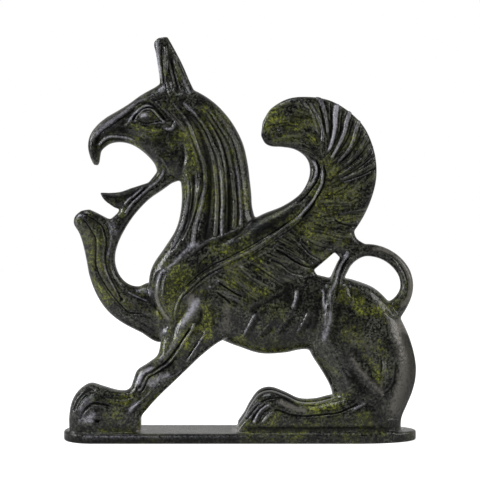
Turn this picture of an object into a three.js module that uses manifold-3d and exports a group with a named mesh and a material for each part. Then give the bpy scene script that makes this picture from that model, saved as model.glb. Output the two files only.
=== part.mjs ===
// A small cast griffin that stands on its own thin plinth: an eagle's head with an open beak, an upright ear, a maned
// neck, a wing that rises from the chest and hooks forward, a lion's trunk and haunch, and a looped tail.
// One foreleg is planted, and the other is raised to the chin, where a beard joins it to the jaw.
// Millimetres, +Z up, the griffin faces -X and shows its left side to -Y. The origin is under the plinth's middle.
import * as THREE from "three";
import Module from "manifold-3d";

const wasm = await Module();
wasm.setup();

// Driving dimensions.
const FIGURE_HEIGHT = 156; // from the plinth's top to the tip of the ear
const PLINTH_THICKNESS = 4;
const PLINTH_LIP = 0.7; // how far the plinth stands out past the paws, to the front and to the back
const TOE_MARGIN = 2.8; // how far it runs on before the toes
const HEEL_MARGIN = 6; // and behind the heel
const TOE_END = 11.5; // length of the oval curve at the toes' end of the plinth
const HEEL_END = 24; // and at the heels' end
const PLINTH_EDGE = 0.7; // rounding of the plinth's edges
const SEAT = 3.4; // how deep the feet run into the plinth

// The figure is drawn in side view on a grid that has 393 units from the plinth's top to the tip of the ear.
const GRID_HEIGHT = 393;
const unit = FIGURE_HEIGHT / GRID_HEIGHT;
const TOES = -170; // where the front paw ends, in grid units
const HEEL = 162; // where the heels end
const PAW_REACH = 25.5; // how far the paws stand out from the middle plane
const SOLE = -SEAT / unit; // the feet's undersides

const plinthStart = TOES * unit - TOE_MARGIN;
const plinthEnd = HEEL * unit + HEEL_MARGIN;
const plinthDepth = 2 * (PAW_REACH * unit + PLINTH_LIP);
const shift = -(plinthStart + plinthEnd) / 2;

// Places across a limb, from one edge (-1) to the other (1), where its surface gets a point.
const ROUND = [-1, -0.9, -0.55, 0, 0.55, 0.9, 1];

function evenly(count) {
  return Array.from({ length: count + 1 }, (_, i) => i / count);
}

// A closed solid from points and triangles, turned so that its faces point out.
function solid(points, faces) {
  const corner = (i) => new THREE.Vector3(...points[i]);
  let volume = 0;
  for (const [a, b, c] of faces) volume += corner(a).dot(corner(b).cross(corner(c)));
  const order = volume > 0 ? faces : faces.map(([a, b, c]) => [a, c, b]);
  return new wasm.Manifold(
    new wasm.Mesh({
      numProp: 3,
      vertProperties: new Float32Array(points.flat()),
      triVerts: new Uint32Array(order.flat()),
    }),
  );
}

// A limb is given by stations. Each is a cut through it: the grid place of one edge and of the other edge in side
// view, half the thickness there, and how far its middle stands behind the middle plane. Splines run through them.
// carve says how much is cut from the surface at a place along (0 to 1) and across (-1 to 1), in grid units.
function limb(stations, options = {}) {
  const { along = evenly(24), spots = ROUND, square = 2.2, carve = () => 0, place = (t, u) => u } = options;
  const spline = (i) => new THREE.SplineCurve(stations.map((s) => new THREE.Vector2(s[i], s[i + 1] ?? 0)));
  const edgeA = spline(0);
  const edgeB = spline(2);
  const bulk = spline(4);
  const ring = [
    ...spots.map((u) => [u, -1]),
    ...spots.slice(1, -1).reverse().map((u) => [u, 1]),
  ];
  const points = [];
  for (const t of along) {
    const a = edgeA.getPoint(t);
    const b = edgeB.getPoint(t);
    const { x: half, y: back } = bulk.getPoint(t);
    for (const [spot, side] of ring) {
      const u = place(t, spot);
      const spread = a.clone().lerp(b, (1 + u) / 2);
      const swell = half * Math.max(1 - Math.abs(u) ** square, 0) ** (1 / square);
      const out = Math.max(swell - carve(t, u, side), swell / 2);
      points.push([spread.x * unit + shift, (back + side * out) * unit, spread.y * unit + PLINTH_THICKNESS]);
    }
  }
  return solid(points, skin(points, along.length, ring.length));
}

// The triangles of a tube of equal rings, with a fan over each end. The fans' middles are added to the points.
function skin(points, rows, size) {
  const faces = [];
  for (let row = 0; row + 1 < rows; row++) {
    for (let i = 0; i < size; i++) {
      const a = row * size + i;
      const b = row * size + ((i + 1) % size);
      faces.push([a, b, b + size], [a, b + size, a + size]);
    }
  }
  for (const [row, turned] of [[0, true], [rows - 1, false]]) {
    const rim = points.slice(row * size, (row + 1) * size);
    const middle = points.push([0, 1, 2].map((k) => rim.reduce((sum, p) => sum + p[k], 0) / size)) - 1;
    for (let i = 0; i < size; i++) {
      const a = row * size + i;
      const b = row * size + ((i + 1) % size);
      faces.push(turned ? [middle, b, a] : [middle, a, b]);
    }
  }
  return faces;
}

// A groove with a rounded lip, deepest on its line and gone at its reach.
function groove(distance, reach, depth) {
  const share = Math.min(Math.abs(distance) / reach, 1);
  return depth * (1 - share) ** 2;
}

// The neck, from the chest to the ear. Its mane hangs in long locks, parted by grooves.
const LOCK_GROOVES = [-0.82, -0.42, 0.09, 0.6];
const LOCK_DEPTH = 3.2;

function neck() {
  const stations = [
    [-88, 126, 14, 158, 20],
    [-91.5, 147, 22, 184, 20],
    [-87.5, 165, 17, 206, 19.5],
    [-75, 184, 12.5, 223, 19],
    [-64, 202, 11.5, 236, 18],
    [-59, 222, 10, 250, 17.5],
    [-58.5, 243, 7.5, 269, 17],
    [-62, 262, 2.4, 288.8, 17],
    [-66, 278, -7.8, 308, 16.5],
    [-72, 292, -20.6, 323.3, 16],
    [-78, 305, -33.3, 333.5, 15],
    [-82, 318, -46.5, 340.5, 13],
    [-82, 330, -60, 345, 10],
  ];
  const edges = [-1, ...LOCK_GROOVES, 1];
  const spots = edges.slice(1).flatMap((end, i) => {
    const start = edges[i];
    return [start, start + (end - start) * 0.3, end - (end - start) * 0.3];
  });
  const carve = (t, u) => LOCK_GROOVES.reduce((sum, g) => sum + groove(u - g, 0.17, LOCK_DEPTH), 0);
  return limb(stations, { along: evenly(14), spots: [...spots, 1], carve });
}

function head() {
  return limb([
    [-56, 340, -60, 250, 15],
    [-75, 347, -78.5, 253.5, 16],
    [-86.5, 342, -85.5, 267, 16],
    [-99, 335, -94.5, 277, 15],
    [-110, 327, -106, 285, 13.5],
    [-121, 320.2, -117.5, 288.2, 12],
    [-133, 313.2, -128, 287.2, 10.5],
    [-142.5, 305.3, -134.5, 283.2, 9.5],
    [-149.2, 296, -138, 279.5, 8.5],
    [-151.6, 285, -139.2, 274.5, 7.5],
    [-149.7, 274.5, -140, 269, 6],
    [-146, 266, -141.4, 265.2, 4],
  ], { along: evenly(15) });
}

function lowerBeak() {
  return limb([
    [-80, 261, -64, 250.5, 9],
    [-87, 250.7, -80, 239, 8.5],
    [-98, 246.2, -93, 231, 8],
    [-109, 242.7, -108, 223, 7.5],
    [-119, 239.2, -122, 222, 6.5],
    [-129, 238.1, -131, 227, 5],
    [-135, 238.2, -136, 231.2, 4],
    [-139.5, 238.4, -139.2, 236.6, 2.5],
  ], { along: evenly(9) });
}

// The beard runs from the throat down to the raised paw.
function beard() {
  return limb([
    [-83, 259, -58.5, 251, 9],
    [-90, 250, -71, 246, 8],
    [-99, 241, -83.5, 237, 7.5],
    [-110, 232, -94, 228.5, 7],
    [-119, 223, -104.5, 217, 7],
    [-123, 217.5, -112, 206.5, 7],
    [-131, 211, -118, 196, 7.5],
    [-142, 206, -123, 185, 8],
  ], { along: evenly(9) });
}

// The ear is a blade with a hollow down each face.
function ear() {
  const HOLLOW = 2.4;
  return limb([
    [-80.5, 334, -43, 335, 9],
    [-79.8, 348, -49.3, 347.5, 7.5],
    [-81.6, 363, -56.4, 364, 6.5],
    [-83.7, 376.5, -63, 377, 6],
    [-85.6, 386.5, -68.5, 387, 5.5],
    [-81.5, 391.7, -72, 393, 4],
  ], { along: evenly(7), carve: (t, u) => groove(u - 0.05, 0.7, t < 0.85 ? HOLLOW : 0) });
}

// The eye is a domed ball under a raised lid, on both sides of the head.
function eyes() {
  const EYE = [-94, 313.5];
  const BALL = [9, 6.2, 4.5];
  const LID = 2;
  return [-1, 1].map((side) => {
    const ball = new THREE.SphereGeometry(1, 10, 6).scale(BALL[0] * unit, BALL[2] * unit, BALL[1] * unit);
    ball.translate(EYE[0] * unit + shift, side * 14 * unit, EYE[1] * unit + PLINTH_THICKNESS);
    const rim = new THREE.EllipseCurve(EYE[0] - 1, EYE[1] - 2, BALL[0] + 5, BALL[1] + 6, 0.1, Math.PI * 1.02);
    const lid = evenly(7).map((t) => rim.getPoint(t));
    return solidOf(ball).add(wire(lid, LID, side * 14.5));
  }).reduce((all, one) => all.add(one));
}

// A round bead along places in the side view, at a set distance behind the middle plane.
function wire(places, radius, back) {
  const path = new THREE.CatmullRomCurve3(places.map((p) => inSpace(p.x, back, p.y)));
  const section = new THREE.Shape(new THREE.EllipseCurve(0, 0, radius * unit, radius * unit).getPoints(5).slice(0, -1));
  return solidOf(new THREE.ExtrudeGeometry(section, { extrudePath: path, steps: places.length, bevelEnabled: false }));
}

function inSpace(x, back, z) {
  return new THREE.Vector3(x * unit + shift, back * unit, z * unit + PLINTH_THICKNESS);
}

// A three.js geometry as a solid, with its shared corners merged.
function solidOf(geometry) {
  const flat = geometry.index ? geometry.toNonIndexed() : geometry;
  const places = new Map();
  const points = [];
  const corners = [];
  const { array } = flat.getAttribute("position");
  for (let i = 0; i < array.length; i += 3) {
    const point = [array[i], array[i + 1], array[i + 2]];
    const key = point.map((x) => Math.round(x * 1e4)).join();
    if (!places.has(key)) places.set(key, points.push(point) - 1);
    corners.push(places.get(key));
  }
  const faces = [];
  for (let i = 0; i < corners.length; i += 3) {
    const [a, b, c] = corners.slice(i, i + 3);
    if (a !== b && b !== c && c !== a) faces.push([a, b, c]);
  }
  return solid(points, faces);
}

// The trunk, with ribs that slant down across the flank.
function trunk() {
  const RIBS = [0.62, 0.69, 0.76, 0.83];
  const carve = (t, u) => (u > -0.1 && u < 0.8 ? RIBS.reduce((sum, r) => sum + groove(t - r, 0.03, 2.2), 0) : 0);
  const along = [...evenly(12), ...RIBS, ...RIBS.map((r) => r + 0.035)].sort((a, b) => a - b);
  return limb([
    [-84, 140, -80, 92, 15],
    [-62, 168, -54, 85, 19],
    [-28, 184, -27, 92, 21],
    [6, 182, -5, 85, 22],
    [36, 172, 20, 77, 22],
    [64, 160, 44, 77.5, 21],
    [86, 154, 64, 81, 21],
    [110, 148, 90, 78, 21],
    [128, 138, 115, 65, 19],
  ], { along: along.filter((t, i) => i === 0 || t - along[i - 1] > 0.004), carve });
}

function haunch() {
  return limb([
    [93, 153.5, 112, 151.5, 10],
    [78, 146, 134, 143, 18],
    [68, 130, 150.5, 127.5, 21],
    [64, 112, 162, 110.5, 23],
    [66, 94, 170.8, 90.5, 24],
    [71, 77, 176, 70, 24],
    [81, 61, 176.4, 54, 24],
    [89.5, 46, 173, 39, 24],
    [93, 34, 167.3, 25, 24.5],
    [95, 18, 162, 11, 25],
    [95, SOLE, HEEL, SOLE, PAW_REACH],
  ], { along: evenly(12), square: 2.6 });
}

// Toes are parted by grooves that run back over the paw.
const toes = (grooves, depth) => (t, u) =>
  grooves.reduce((sum, g) => sum + groove(u - g, 0.14, depth * (0.35 + 0.65 * t)), 0);

function hindFoot(side) {
  const GROOVES = [-0.55, -0.2, 0.12];
  const half = PAW_REACH / 2;
  const back = side * half;
  return limb([
    [132, 36, 132, SOLE, half, back],
    [110, 36.5, 110, SOLE, half, back],
    [91, 33, 91, SOLE, half, back],
    [76, 29.5, 76, SOLE, half - 0.5, back],
    [60, 29.7, 60, SOLE, half - 0.5, back],
    [45, 36.5, 46, SOLE, half, back],
    [31, 41.2, 33, SOLE, half, back],
    [19, 38, 22, SOLE, half, back],
    [10, 26.5, 13, SOLE, half - 0.5, back],
    [4.5, 16, 6, SOLE, half - 1.5, back],
    [-2, 6.5, -2.5, SOLE, half - 2.5, back],
  ], {
    along: evenly(9),
    square: 2.8,
    spots: [-1, -0.93, -0.75, -0.55, -0.38, -0.2, -0.04, 0.12, 0.4, 0.8, 1],
    carve: toes(GROOVES, 3),
  });
}

// The planted foreleg is the left one, in front of the middle plane.
function plantedLeg() {
  const GROOVES = [-0.32, 0.38];
  return limb([
    [-50, 158, 3, 142, 10, -9],
    [-66, 130, 1, 112, 13, -10],
    [-76, 104, -9, 97, 13, -10],
    [-79.5, 88, -24, 87.5, 12.5, -10],
    [-82.5, 76.5, -39.5, 75, 12, -9],
    [-92, 68.6, -53, 62, 12, -9],
    [-102.5, 61.5, -67, 48.5, 12, -9],
    [-106.8, 51, -80, 36, 12, -9],
    [-110, 43.5, -91, 24, 12, -9],
    [-120, 38, -99.5, 12, 12.5, -9],
    [-130, 30, -102, SOLE, 13, -9],
  ], {
    along: evenly(14),
    spots: [-1, -0.9, -0.55, -0.32, -0.1, 0.16, 0.38, 0.6, 0.9, 1],
    carve: (t, u, side) => (side < 0 && t > 0.25 && t < 0.9 ? toes(GROOVES, 2.4)(1, u) : 0),
  });
}

function frontPaw() {
  const GROOVES = [-0.55, -0.2];
  const back = -9.5;
  const half = PAW_REACH + back;
  return limb([
    [-98.5, 12, -99.5, SOLE, half - 9, back],
    [-102.5, 33, -103.5, SOLE, half - 4, back],
    [-110, 40, -111, SOLE, half - 2, back],
    [-123, 41.5, -123, SOLE, half - 1, back],
    [-137, 45.5, -136, SOLE, half, back],
    [-149, 48.6, -149, SOLE, half, back],
    [-159.8, 42.5, -158, SOLE, half - 1.5, back + 0.5],
    [-167.2, 32, -165, SOLE, half - 4, back + 1.5],
    [-170.5, 19, -169.5, SOLE, half - 7, back + 2.5],
    [-170.5, 6, TOES, SOLE, half - 8.5, back + 3],
  ], {
    along: evenly(10),
    square: 2.8,
    spots: [-1, -0.93, -0.75, -0.55, -0.38, -0.2, 0, 0.4, 0.8, 1],
    carve: toes(GROOVES, 3),
  });
}

// The raised foreleg is the right one, behind the middle plane at the shoulder. Its paw comes in under the beard.
function raisedLeg() {
  const GROOVES = [-0.3, 0.35];
  return limb([
    [-54, 94, -54, 142, 10, 6],
    [-81, 87, -88, 148, 12.5, 8],
    [-99.5, 97, -102, 144, 12, 7],
    [-118, 106.8, -113, 147, 11, 6],
    [-132.5, 118.5, -121, 155.5, 10.5, 5],
    [-143, 133.5, -125, 167, 10, 4],
    [-150.5, 152.5, -124.7, 178, 9.5, 3],
    [-154, 171, -121.5, 189, 9.5, 2],
    [-157.5, 187.5, -119, 199, 9.5, 1],
    [-161, 198, -124, 209, 9.5, 0],
    [-166.1, 207, -132, 212.5, 9, 0],
    [-165, 214.5, -142, 217.7, 8, 0],
    [-159, 220.1, -150.5, 221.6, 5, 0],
  ], {
    along: evenly(14),
    spots: [-1, -0.9, -0.55, -0.3, 0, 0.35, 0.65, 0.92, 1],
    carve: (t, u) => (t > 0.15 ? toes(GROOVES, 2)(1, u) : 0),
  });
}

// The tail loops up from the rump to the wing, and its end comes down over the flank, raised on both sides.
function tail() {
  const path = [
    [140, 106, 13, 10], [151.5, 118, 11, 9], [160.5, 127.5, 8.2, 8], [166, 138, 6.8, 7],
    [166.9, 148.5, 6.5, 6.5], [163.8, 159, 6.4, 6.5], [156.8, 168.3, 6.3, 6.5], [147.5, 175.3, 6.2, 6.5],
    [136.5, 179.6, 6.2, 6.5], [124.5, 180.6, 6.3, 6.5], [113.5, 176.8, 7, 7.5], [105.5, 169, 6.8, 9],
    [100.5, 159.5, 6.6, 13], [95.5, 149, 6.2, 20], [91, 139, 5.6, 23.5], [88, 130, 5, 25], [87, 121, 4.6, 25],
    [89, 112, 3.4, 23],
  ];
  const middle = new THREE.SplineCurve(path.map(([x, z]) => new THREE.Vector2(x, z)));
  const size = new THREE.SplineCurve(path.map((p) => new THREE.Vector2(p[2], p[3])));
  const stations = evenly(30).map((t) => {
    const { x, y } = middle.getPoint(t);
    const along = middle.getTangent(t);
    const { x: half, y: thick } = size.getPoint(t);
    return [x - along.y * half, y + along.x * half, x + along.y * half, y - along.x * half, thick];
  });
  return limb(stations, { along: evenly(25), spots: [-1, -0.75, 0, 0.75, 1] });
}

// The wing's lower corner runs into the top of the tail's loop.
function wingToTail() {
  return limb([
    [91, 184, 113, 206, 8],
    [96, 177, 116.5, 193, 7],
    [103, 171, 127, 186, 6.5],
  ], { along: evenly(4) });
}

// The wing rises from the chest, behind a smooth band along its leading edge, and hooks forward at the tip.
// Its feathers run from the band to the outer edge, parted by grooves.
const FEATHERS = 19;
const FEATHER_DEPTH = 2.6;
const BAND_STEP = 2; // how far the band stands above the feathers
const BAND_RIDGE = 1; // and its raised edge above the band
const SMOOTH_TIP = 0.86; // the feathers fade out past this share of the wing's length

// Share of the wing's width that the band takes, along the wing.
const bandShare = (t) => THREE.MathUtils.lerp(0.48, 0.1, t);

function wing() {
  const stations = [
    [-73, 112, -60, 104, 22],
    [-84, 135, -36, 107, 24],
    [-81.5, 158, -12, 112, 25],
    [-57, 175, 12, 123, 25],
    [-27, 189, 35, 135, 24.5],
    [0, 203.5, 58, 149, 23],
    [21, 216, 80, 166, 18],
    [43, 225, 101, 185, 14],
    [59.5, 236.5, 118.5, 206, 11],
    [68, 250.5, 130.5, 230, 10],
    [69.6, 263, 136.3, 256, 9.5],
    [65.5, 273.5, 132.6, 284, 9],
    [55, 281, 119, 309.5, 8.5],
    [42, 283.6, 90, 329.8, 8],
    [31.5, 284.2, 55, 333.2, 7.5],
    [24.8, 287.5, 32.5, 323.3, 7],
    [20.8, 295, 22.6, 309, 5],
  ];
  const BAND = -0.4; // the band's edge among the spots, which place() moves to where the band ends
  const RIDGE_WIDTH = 0.08;
  const place = (t, u) => {
    const edge = 2 * bandShare(t) - 1;
    return u < BAND
      ? THREE.MathUtils.mapLinear(u, -1, BAND, -1, edge)
      : THREE.MathUtils.mapLinear(u, BAND, 1, edge, 1);
  };
  const carve = (t, u) => {
    const pastBand = u - (2 * bandShare(t) - 1);
    if (pastBand < 1e-6) return pastBand > -RIDGE_WIDTH ? -BAND_RIDGE : 0;
    const phase = (t * FEATHERS) % 1;
    const fade = t < SMOOTH_TIP ? 1 : 0.3;
    return fade * (BAND_STEP + groove(Math.min(phase, 1 - phase), 0.4, FEATHER_DEPTH));
  };
  const along = evenly(FEATHERS).flatMap((t) => [t, t + 0.3 / FEATHERS, t + 0.7 / FEATHERS]);
  return limb(stations, {
    along: along.filter((t) => t <= 1),
    spots: [-1, -0.9, BAND - 0.15, BAND - 0.05, BAND, BAND + 0.06, 0.3, 0.8, 0.96, 1],
    square: 3.2,
    carve,
    place,
  });
}

// A thin slab with oval ends, longer at the heels, and rounded edges.
function plinth() {
  const half = plinthDepth / 2 - PLINTH_EDGE;
  const start = plinthStart + shift + PLINTH_EDGE;
  const end = plinthEnd + shift - PLINTH_EDGE;
  const outline = new THREE.Shape();
  outline.absellipse(start + TOE_END, 0, TOE_END, half, Math.PI / 2, 1.5 * Math.PI);
  outline.absellipse(end - HEEL_END, 0, HEEL_END, half, -Math.PI / 2, Math.PI / 2);
  const slab = new THREE.ExtrudeGeometry(outline, {
    depth: PLINTH_THICKNESS - 2 * PLINTH_EDGE,
    bevelSize: PLINTH_EDGE,
    bevelThickness: PLINTH_EDGE,
    bevelSegments: 2,
    curveSegments: 8,
  });
  return solidOf(slab.translate(0, 0, PLINTH_EDGE));
}

function geometryOf(made) {
  const mesh = made.getMesh();
  const geometry = new THREE.BufferGeometry();
  geometry.setAttribute("position", new THREE.BufferAttribute(mesh.vertProperties, 3));
  geometry.setIndex(new THREE.BufferAttribute(mesh.triVerts, 1));
  return geometry;
}

const parts = [
  plinth(), trunk(), haunch(), hindFoot(-1), hindFoot(1), raisedLeg(), plantedLeg(), frontPaw(), neck(), head(),
  lowerBeak(), beard(), ear(), eyes(), wing(), wingToTail(), tail(),
];
const cast = parts.reduce((whole, part) => whole.add(part));

const patinatedBronze = new THREE.MeshStandardMaterial({ color: 0x23271a, roughness: 0.35, metalness: 0.3 });
const griffin = new THREE.Mesh(geometryOf(cast), patinatedBronze);
griffin.name = "griffin_statue";

const statue = new THREE.Group();
statue.add(griffin);
export default statue;
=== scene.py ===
# A cast griffin on its own thin plinth. The body is built from limbs that follow the imported solid, fused into
# one skin, rounded, carved with lines in side view, and finished with a dark green patina with painted
# highlights and painted shade.
import math

import bpy
import numpy as np
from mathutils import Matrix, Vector


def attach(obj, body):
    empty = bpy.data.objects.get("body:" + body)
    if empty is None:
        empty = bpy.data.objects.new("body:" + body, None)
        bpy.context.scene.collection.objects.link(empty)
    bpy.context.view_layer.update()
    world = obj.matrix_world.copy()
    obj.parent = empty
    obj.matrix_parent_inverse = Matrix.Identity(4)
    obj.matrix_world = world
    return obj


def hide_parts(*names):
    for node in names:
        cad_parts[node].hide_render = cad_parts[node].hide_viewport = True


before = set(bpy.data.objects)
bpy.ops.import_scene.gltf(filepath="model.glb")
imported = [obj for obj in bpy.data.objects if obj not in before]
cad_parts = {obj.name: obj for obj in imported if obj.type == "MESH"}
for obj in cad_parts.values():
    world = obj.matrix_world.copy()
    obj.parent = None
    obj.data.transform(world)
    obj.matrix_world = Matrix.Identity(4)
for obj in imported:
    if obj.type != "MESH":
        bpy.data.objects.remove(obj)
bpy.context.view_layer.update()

MM = 0.001
FIGURE_HEIGHT = 156 * MM  # from the plinth's top to the tip of the ear
GRID_HEIGHT = 393  # the same height on the side-view grid
UNIT = FIGURE_HEIGHT / GRID_HEIGHT
PAW_REACH = 25.5  # how far the paws stand out from the middle plane, in grid units
PLINTH_THICKNESS = 4 * MM
PLINTH_LIP = 0.7 * MM  # how far the plinth stands out past the paws
PLINTH_START = -70.3 * MM
PLINTH_END = 70.3 * MM
PLINTH_DEPTH = 2 * (PAW_REACH * UNIT + PLINTH_LIP)
TOE_END = 11.5 * MM  # length of the oval curve at the toes' end
HEEL_END = 24 * MM  # and at the heels' end
PLINTH_EDGE = 0.7 * MM
SEAT = 3.4 * MM  # how deep the feet run into the plinth
SOLE = -SEAT / UNIT  # the feet's undersides

# The photo's view: distance, height of the aim, tilt, and the width that the picture covers at that distance.
VIEW_DISTANCE = 600 * MM
VIEW_AIM = 79.75 * MM
VIEW_TILT = math.radians(3.0)
VIEW_WIDTH = 190.6 * MM

# The carving is drawn on a side-view sheet, x to the right and y down. The grid's origin lies here on it.
SHEET_X = 240
SHEET_Y = 430

# The feathers spring from this line on the sheet, where the wing's smooth band ends, and sweep out aslant.
BAND = [
    (175.4, 322), (174.9, 312.4), (177.8, 302.8), (181.6, 295.2), (188.3, 288.5), (195.9, 281.8),
    (203.6, 275.1), (215.1, 268.4), (226.6, 262), (235.9, 257.1), (244.8, 253.2), (253.7, 248.2),
    (261.6, 243.3), (269.5, 237.4), (277.4, 231.4), (284.3, 226.5), (292.2, 221.6), (299.1, 215.6),
    (306, 207.7), (312, 200.8), (317.9, 190.9), (321.6, 183), (322.4, 174.5), (321.4, 167), (318, 160),
]
BAND_LENGTH = 240  # along that line, in grid units
BAND_STEP = 2  # how far the smooth band stands above the feathers, in grid units
FEATHER_SLANT = 0.5

VOXEL = 0.25 * MM
MOST_TRIANGLES = 196000
EVEN_PASSES = 8  # rounds that even out the whole skin
FILL_PASSES = 40  # rounds that fill the joins between the limbs
EDGE_WEAR = 0.12  # how fast edges wear there, beside the filling of hollows
MOST_RELIEF = 1.4  # millimetres


# Curves and lofts

def spline(points, t):
    """Points of a uniform Catmull-Rom spline through the given points."""
    points = np.asarray(points, float)
    last = len(points) - 1
    place = np.clip(t, 0, 1) * last
    i = np.minimum(place.astype(int), last - 1)
    w = (place - i)[:, None]
    p0 = points[np.maximum(i - 1, 0)]
    p1 = points[i]
    p2 = points[i + 1]
    p3 = points[np.minimum(i + 2, last)]
    v0 = (p2 - p0) / 2
    v1 = (p3 - p1) / 2
    return (2 * p1 - 2 * p2 + v0 + v1) * w**3 + (-3 * p1 + 3 * p2 - 2 * v0 - v1) * w**2 + v0 * w + p1


def smooth_step(low, high, x):
    t = np.clip((x - low) / (high - low), 0, 1)
    return t * t * (3 - 2 * t)


class Shells:
    """Closed shells gathered into one mesh."""

    def __init__(self):
        self.points = []
        self.faces = []
        self.count = 0

    def add(self, points, faces):
        self.points.append(points)
        self.faces += [[i + self.count for i in f] for f in faces]
        self.count += len(points)

    def mesh(self, name):
        mesh = bpy.data.meshes.new(name)
        mesh.from_pydata(np.concatenate(self.points), [], self.faces)
        return mesh


def tube_faces(rows, ring):
    """Quads of a tube, with a fan over each end about the two points after the last row."""
    faces = []
    for row in range(rows - 1):
        for i in range(ring):
            a = row * ring + i
            b = row * ring + (i + 1) % ring
            faces.append([a, b, b + ring, a + ring])
    end = rows * ring
    for i in range(ring):
        j = (i + 1) % ring
        faces.append([end, j, i])
        faces.append([end + 1, end - ring + i, end - ring + j])
    return faces


def limb(shells, stations, rows=80, ring=44, square=2.2, back=0, carve=None):
    """A limb through stations. Each is a cut: the grid places of its two edges, half its thickness, and how
    far its middle stands behind the middle plane where that differs from back. carve lowers the surface by
    grid units at a place along and across."""
    stations = [(*station, back)[:6] for station in stations]
    t = np.linspace(0, 1, rows)
    cut = spline(stations, t)[:, None, :]
    angle = np.linspace(0, 2 * math.pi, ring, endpoint=False)[None, :]
    across = -np.sign(np.cos(angle)) * np.abs(np.cos(angle)) ** (2 / square)
    out = np.sign(np.sin(angle)) * np.abs(np.sin(angle)) ** (2 / square)
    share = (1 + across) / 2
    half = cut[..., 4] * np.ones_like(share)
    if carve is not None:
        drop = carve(t[:, None] * np.ones_like(share), across * np.ones((rows, 1)))
        half = half - np.minimum(drop, half * 0.5)
    x = (cut[..., 0] + (cut[..., 2] - cut[..., 0]) * share) * UNIT
    y = (cut[..., 5] + half * out) * UNIT
    z = (cut[..., 1] + (cut[..., 3] - cut[..., 1]) * share) * UNIT + PLINTH_THICKNESS
    points = np.stack([x, y, z], -1).reshape(-1, 3)
    ends = np.stack([points[:ring].mean(0), points[-ring:].mean(0)])
    shells.add(np.concatenate([points, ends]), tube_faces(rows, ring))


# The limbs

def neck_and_head(shells):
    limb(shells, [
        (-88, 126, 14, 158, 20), (-91.5, 147, 22, 184, 20), (-87.5, 165, 17, 206, 19.5),
        (-75, 184, 12.5, 223, 19), (-64, 202, 11.5, 236, 18), (-59, 222, 10, 250, 17.5),
        (-58.5, 243, 7.5, 269, 17), (-62, 262, 2.4, 288.8, 17), (-66, 278, -7.8, 308, 16.5),
        (-72, 292, -20.6, 323.3, 16), (-78, 305, -33.3, 333.5, 15), (-82, 318, -46.5, 340.5, 13),
        (-82, 330, -60, 345, 10),
    ], rows=120)
    limb(shells, [
        (-56, 340, -60, 250, 15), (-75, 347, -78.5, 253.5, 16), (-86.5, 342, -85.5, 267, 16),
        (-99, 335, -94.5, 277, 15), (-110, 327, -106, 285, 13.5), (-121, 320.2, -117.5, 288.2, 12),
        (-133, 313.2, -128, 287.2, 10.5), (-142.5, 305.3, -134.5, 283.2, 9.5),
        (-149.2, 296, -138, 279.5, 8.5), (-151.6, 285, -139.2, 274.5, 7.5), (-149.7, 274.5, -140, 269, 6),
        (-146, 266, -141.4, 265.2, 4),
    ], rows=110)
    limb(shells, [
        (-80, 261, -64, 250.5, 9), (-87, 250.7, -80, 239, 8.5), (-98, 246.2, -93, 231, 8),
        (-109, 242.7, -108, 223, 7.5), (-119, 239.2, -122, 222, 6.5), (-129, 238.1, -131, 227, 5),
        (-135, 238.2, -136, 231.2, 4), (-139.5, 238.4, -139.2, 236.6, 2.5),
    ])
    limb(shells, [
        (-83, 259, -58.5, 251, 9), (-90, 250, -71, 246, 8), (-99, 241, -83.5, 237, 7.5),
        (-110, 232, -94, 228.5, 7), (-119, 223, -104.5, 217, 7), (-123, 217.5, -112, 206.5, 7),
        (-131, 211, -118, 196, 7.5), (-142, 206, -123, 185, 8),
    ])
    limb(shells, [
        (-80.5, 334, -43, 335, 9), (-79.8, 348, -49.3, 347.5, 7.5), (-81.6, 363, -56.4, 364, 6.5),
        (-83.7, 376.5, -63, 377, 6), (-85.6, 386.5, -68.5, 387, 5.5), (-81.5, 391.7, -72, 393, 4),
    ])


def trunk_and_haunch(shells):
    limb(shells, [
        (-84, 140, -80, 92, 15), (-62, 168, -54, 85, 19), (-28, 184, -27, 92, 21), (6, 182, -5, 85, 22),
        (36, 172, 20, 77, 22), (64, 160, 44, 77.5, 21), (86, 154, 64, 81, 21), (110, 148, 90, 78, 21),
        (128, 138, 115, 65, 19),
    ], rows=110)
    limb(shells, [
        (93, 153.5, 112, 151.5, 10), (78, 146, 134, 143, 18), (68, 130, 150.5, 127.5, 21),
        (64, 112, 162, 110.5, 23), (66, 94, 170.8, 90.5, 24), (71, 77, 176, 70, 24), (81, 61, 176.4, 54, 24),
        (89.5, 46, 173, 39, 24), (93, 34, 167.3, 25, 24.5), (95, 18, 162, 11, 25),
        (95, SOLE, 162, SOLE, PAW_REACH),
    ], rows=110, ring=64, square=2.6)


def hind_foot(shells, side):
    half = PAW_REACH / 2
    limb(shells, [
        (132, 36, 132, SOLE, half), (110, 36.5, 110, SOLE, half), (91, 33, 91, SOLE, half),
        (76, 29.5, 76, SOLE, half - 0.5), (60, 29.7, 60, SOLE, half - 0.5), (45, 36.5, 46, SOLE, half),
        (31, 41.2, 33, SOLE, half), (19, 38, 22, SOLE, half), (10, 26.5, 13, SOLE, half - 0.5),
        (4.5, 16, 6, SOLE, half - 1.5), (-2, 6.5, -2.5, SOLE, half - 2.5),
    ], square=2.8, back=side * half)


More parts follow.
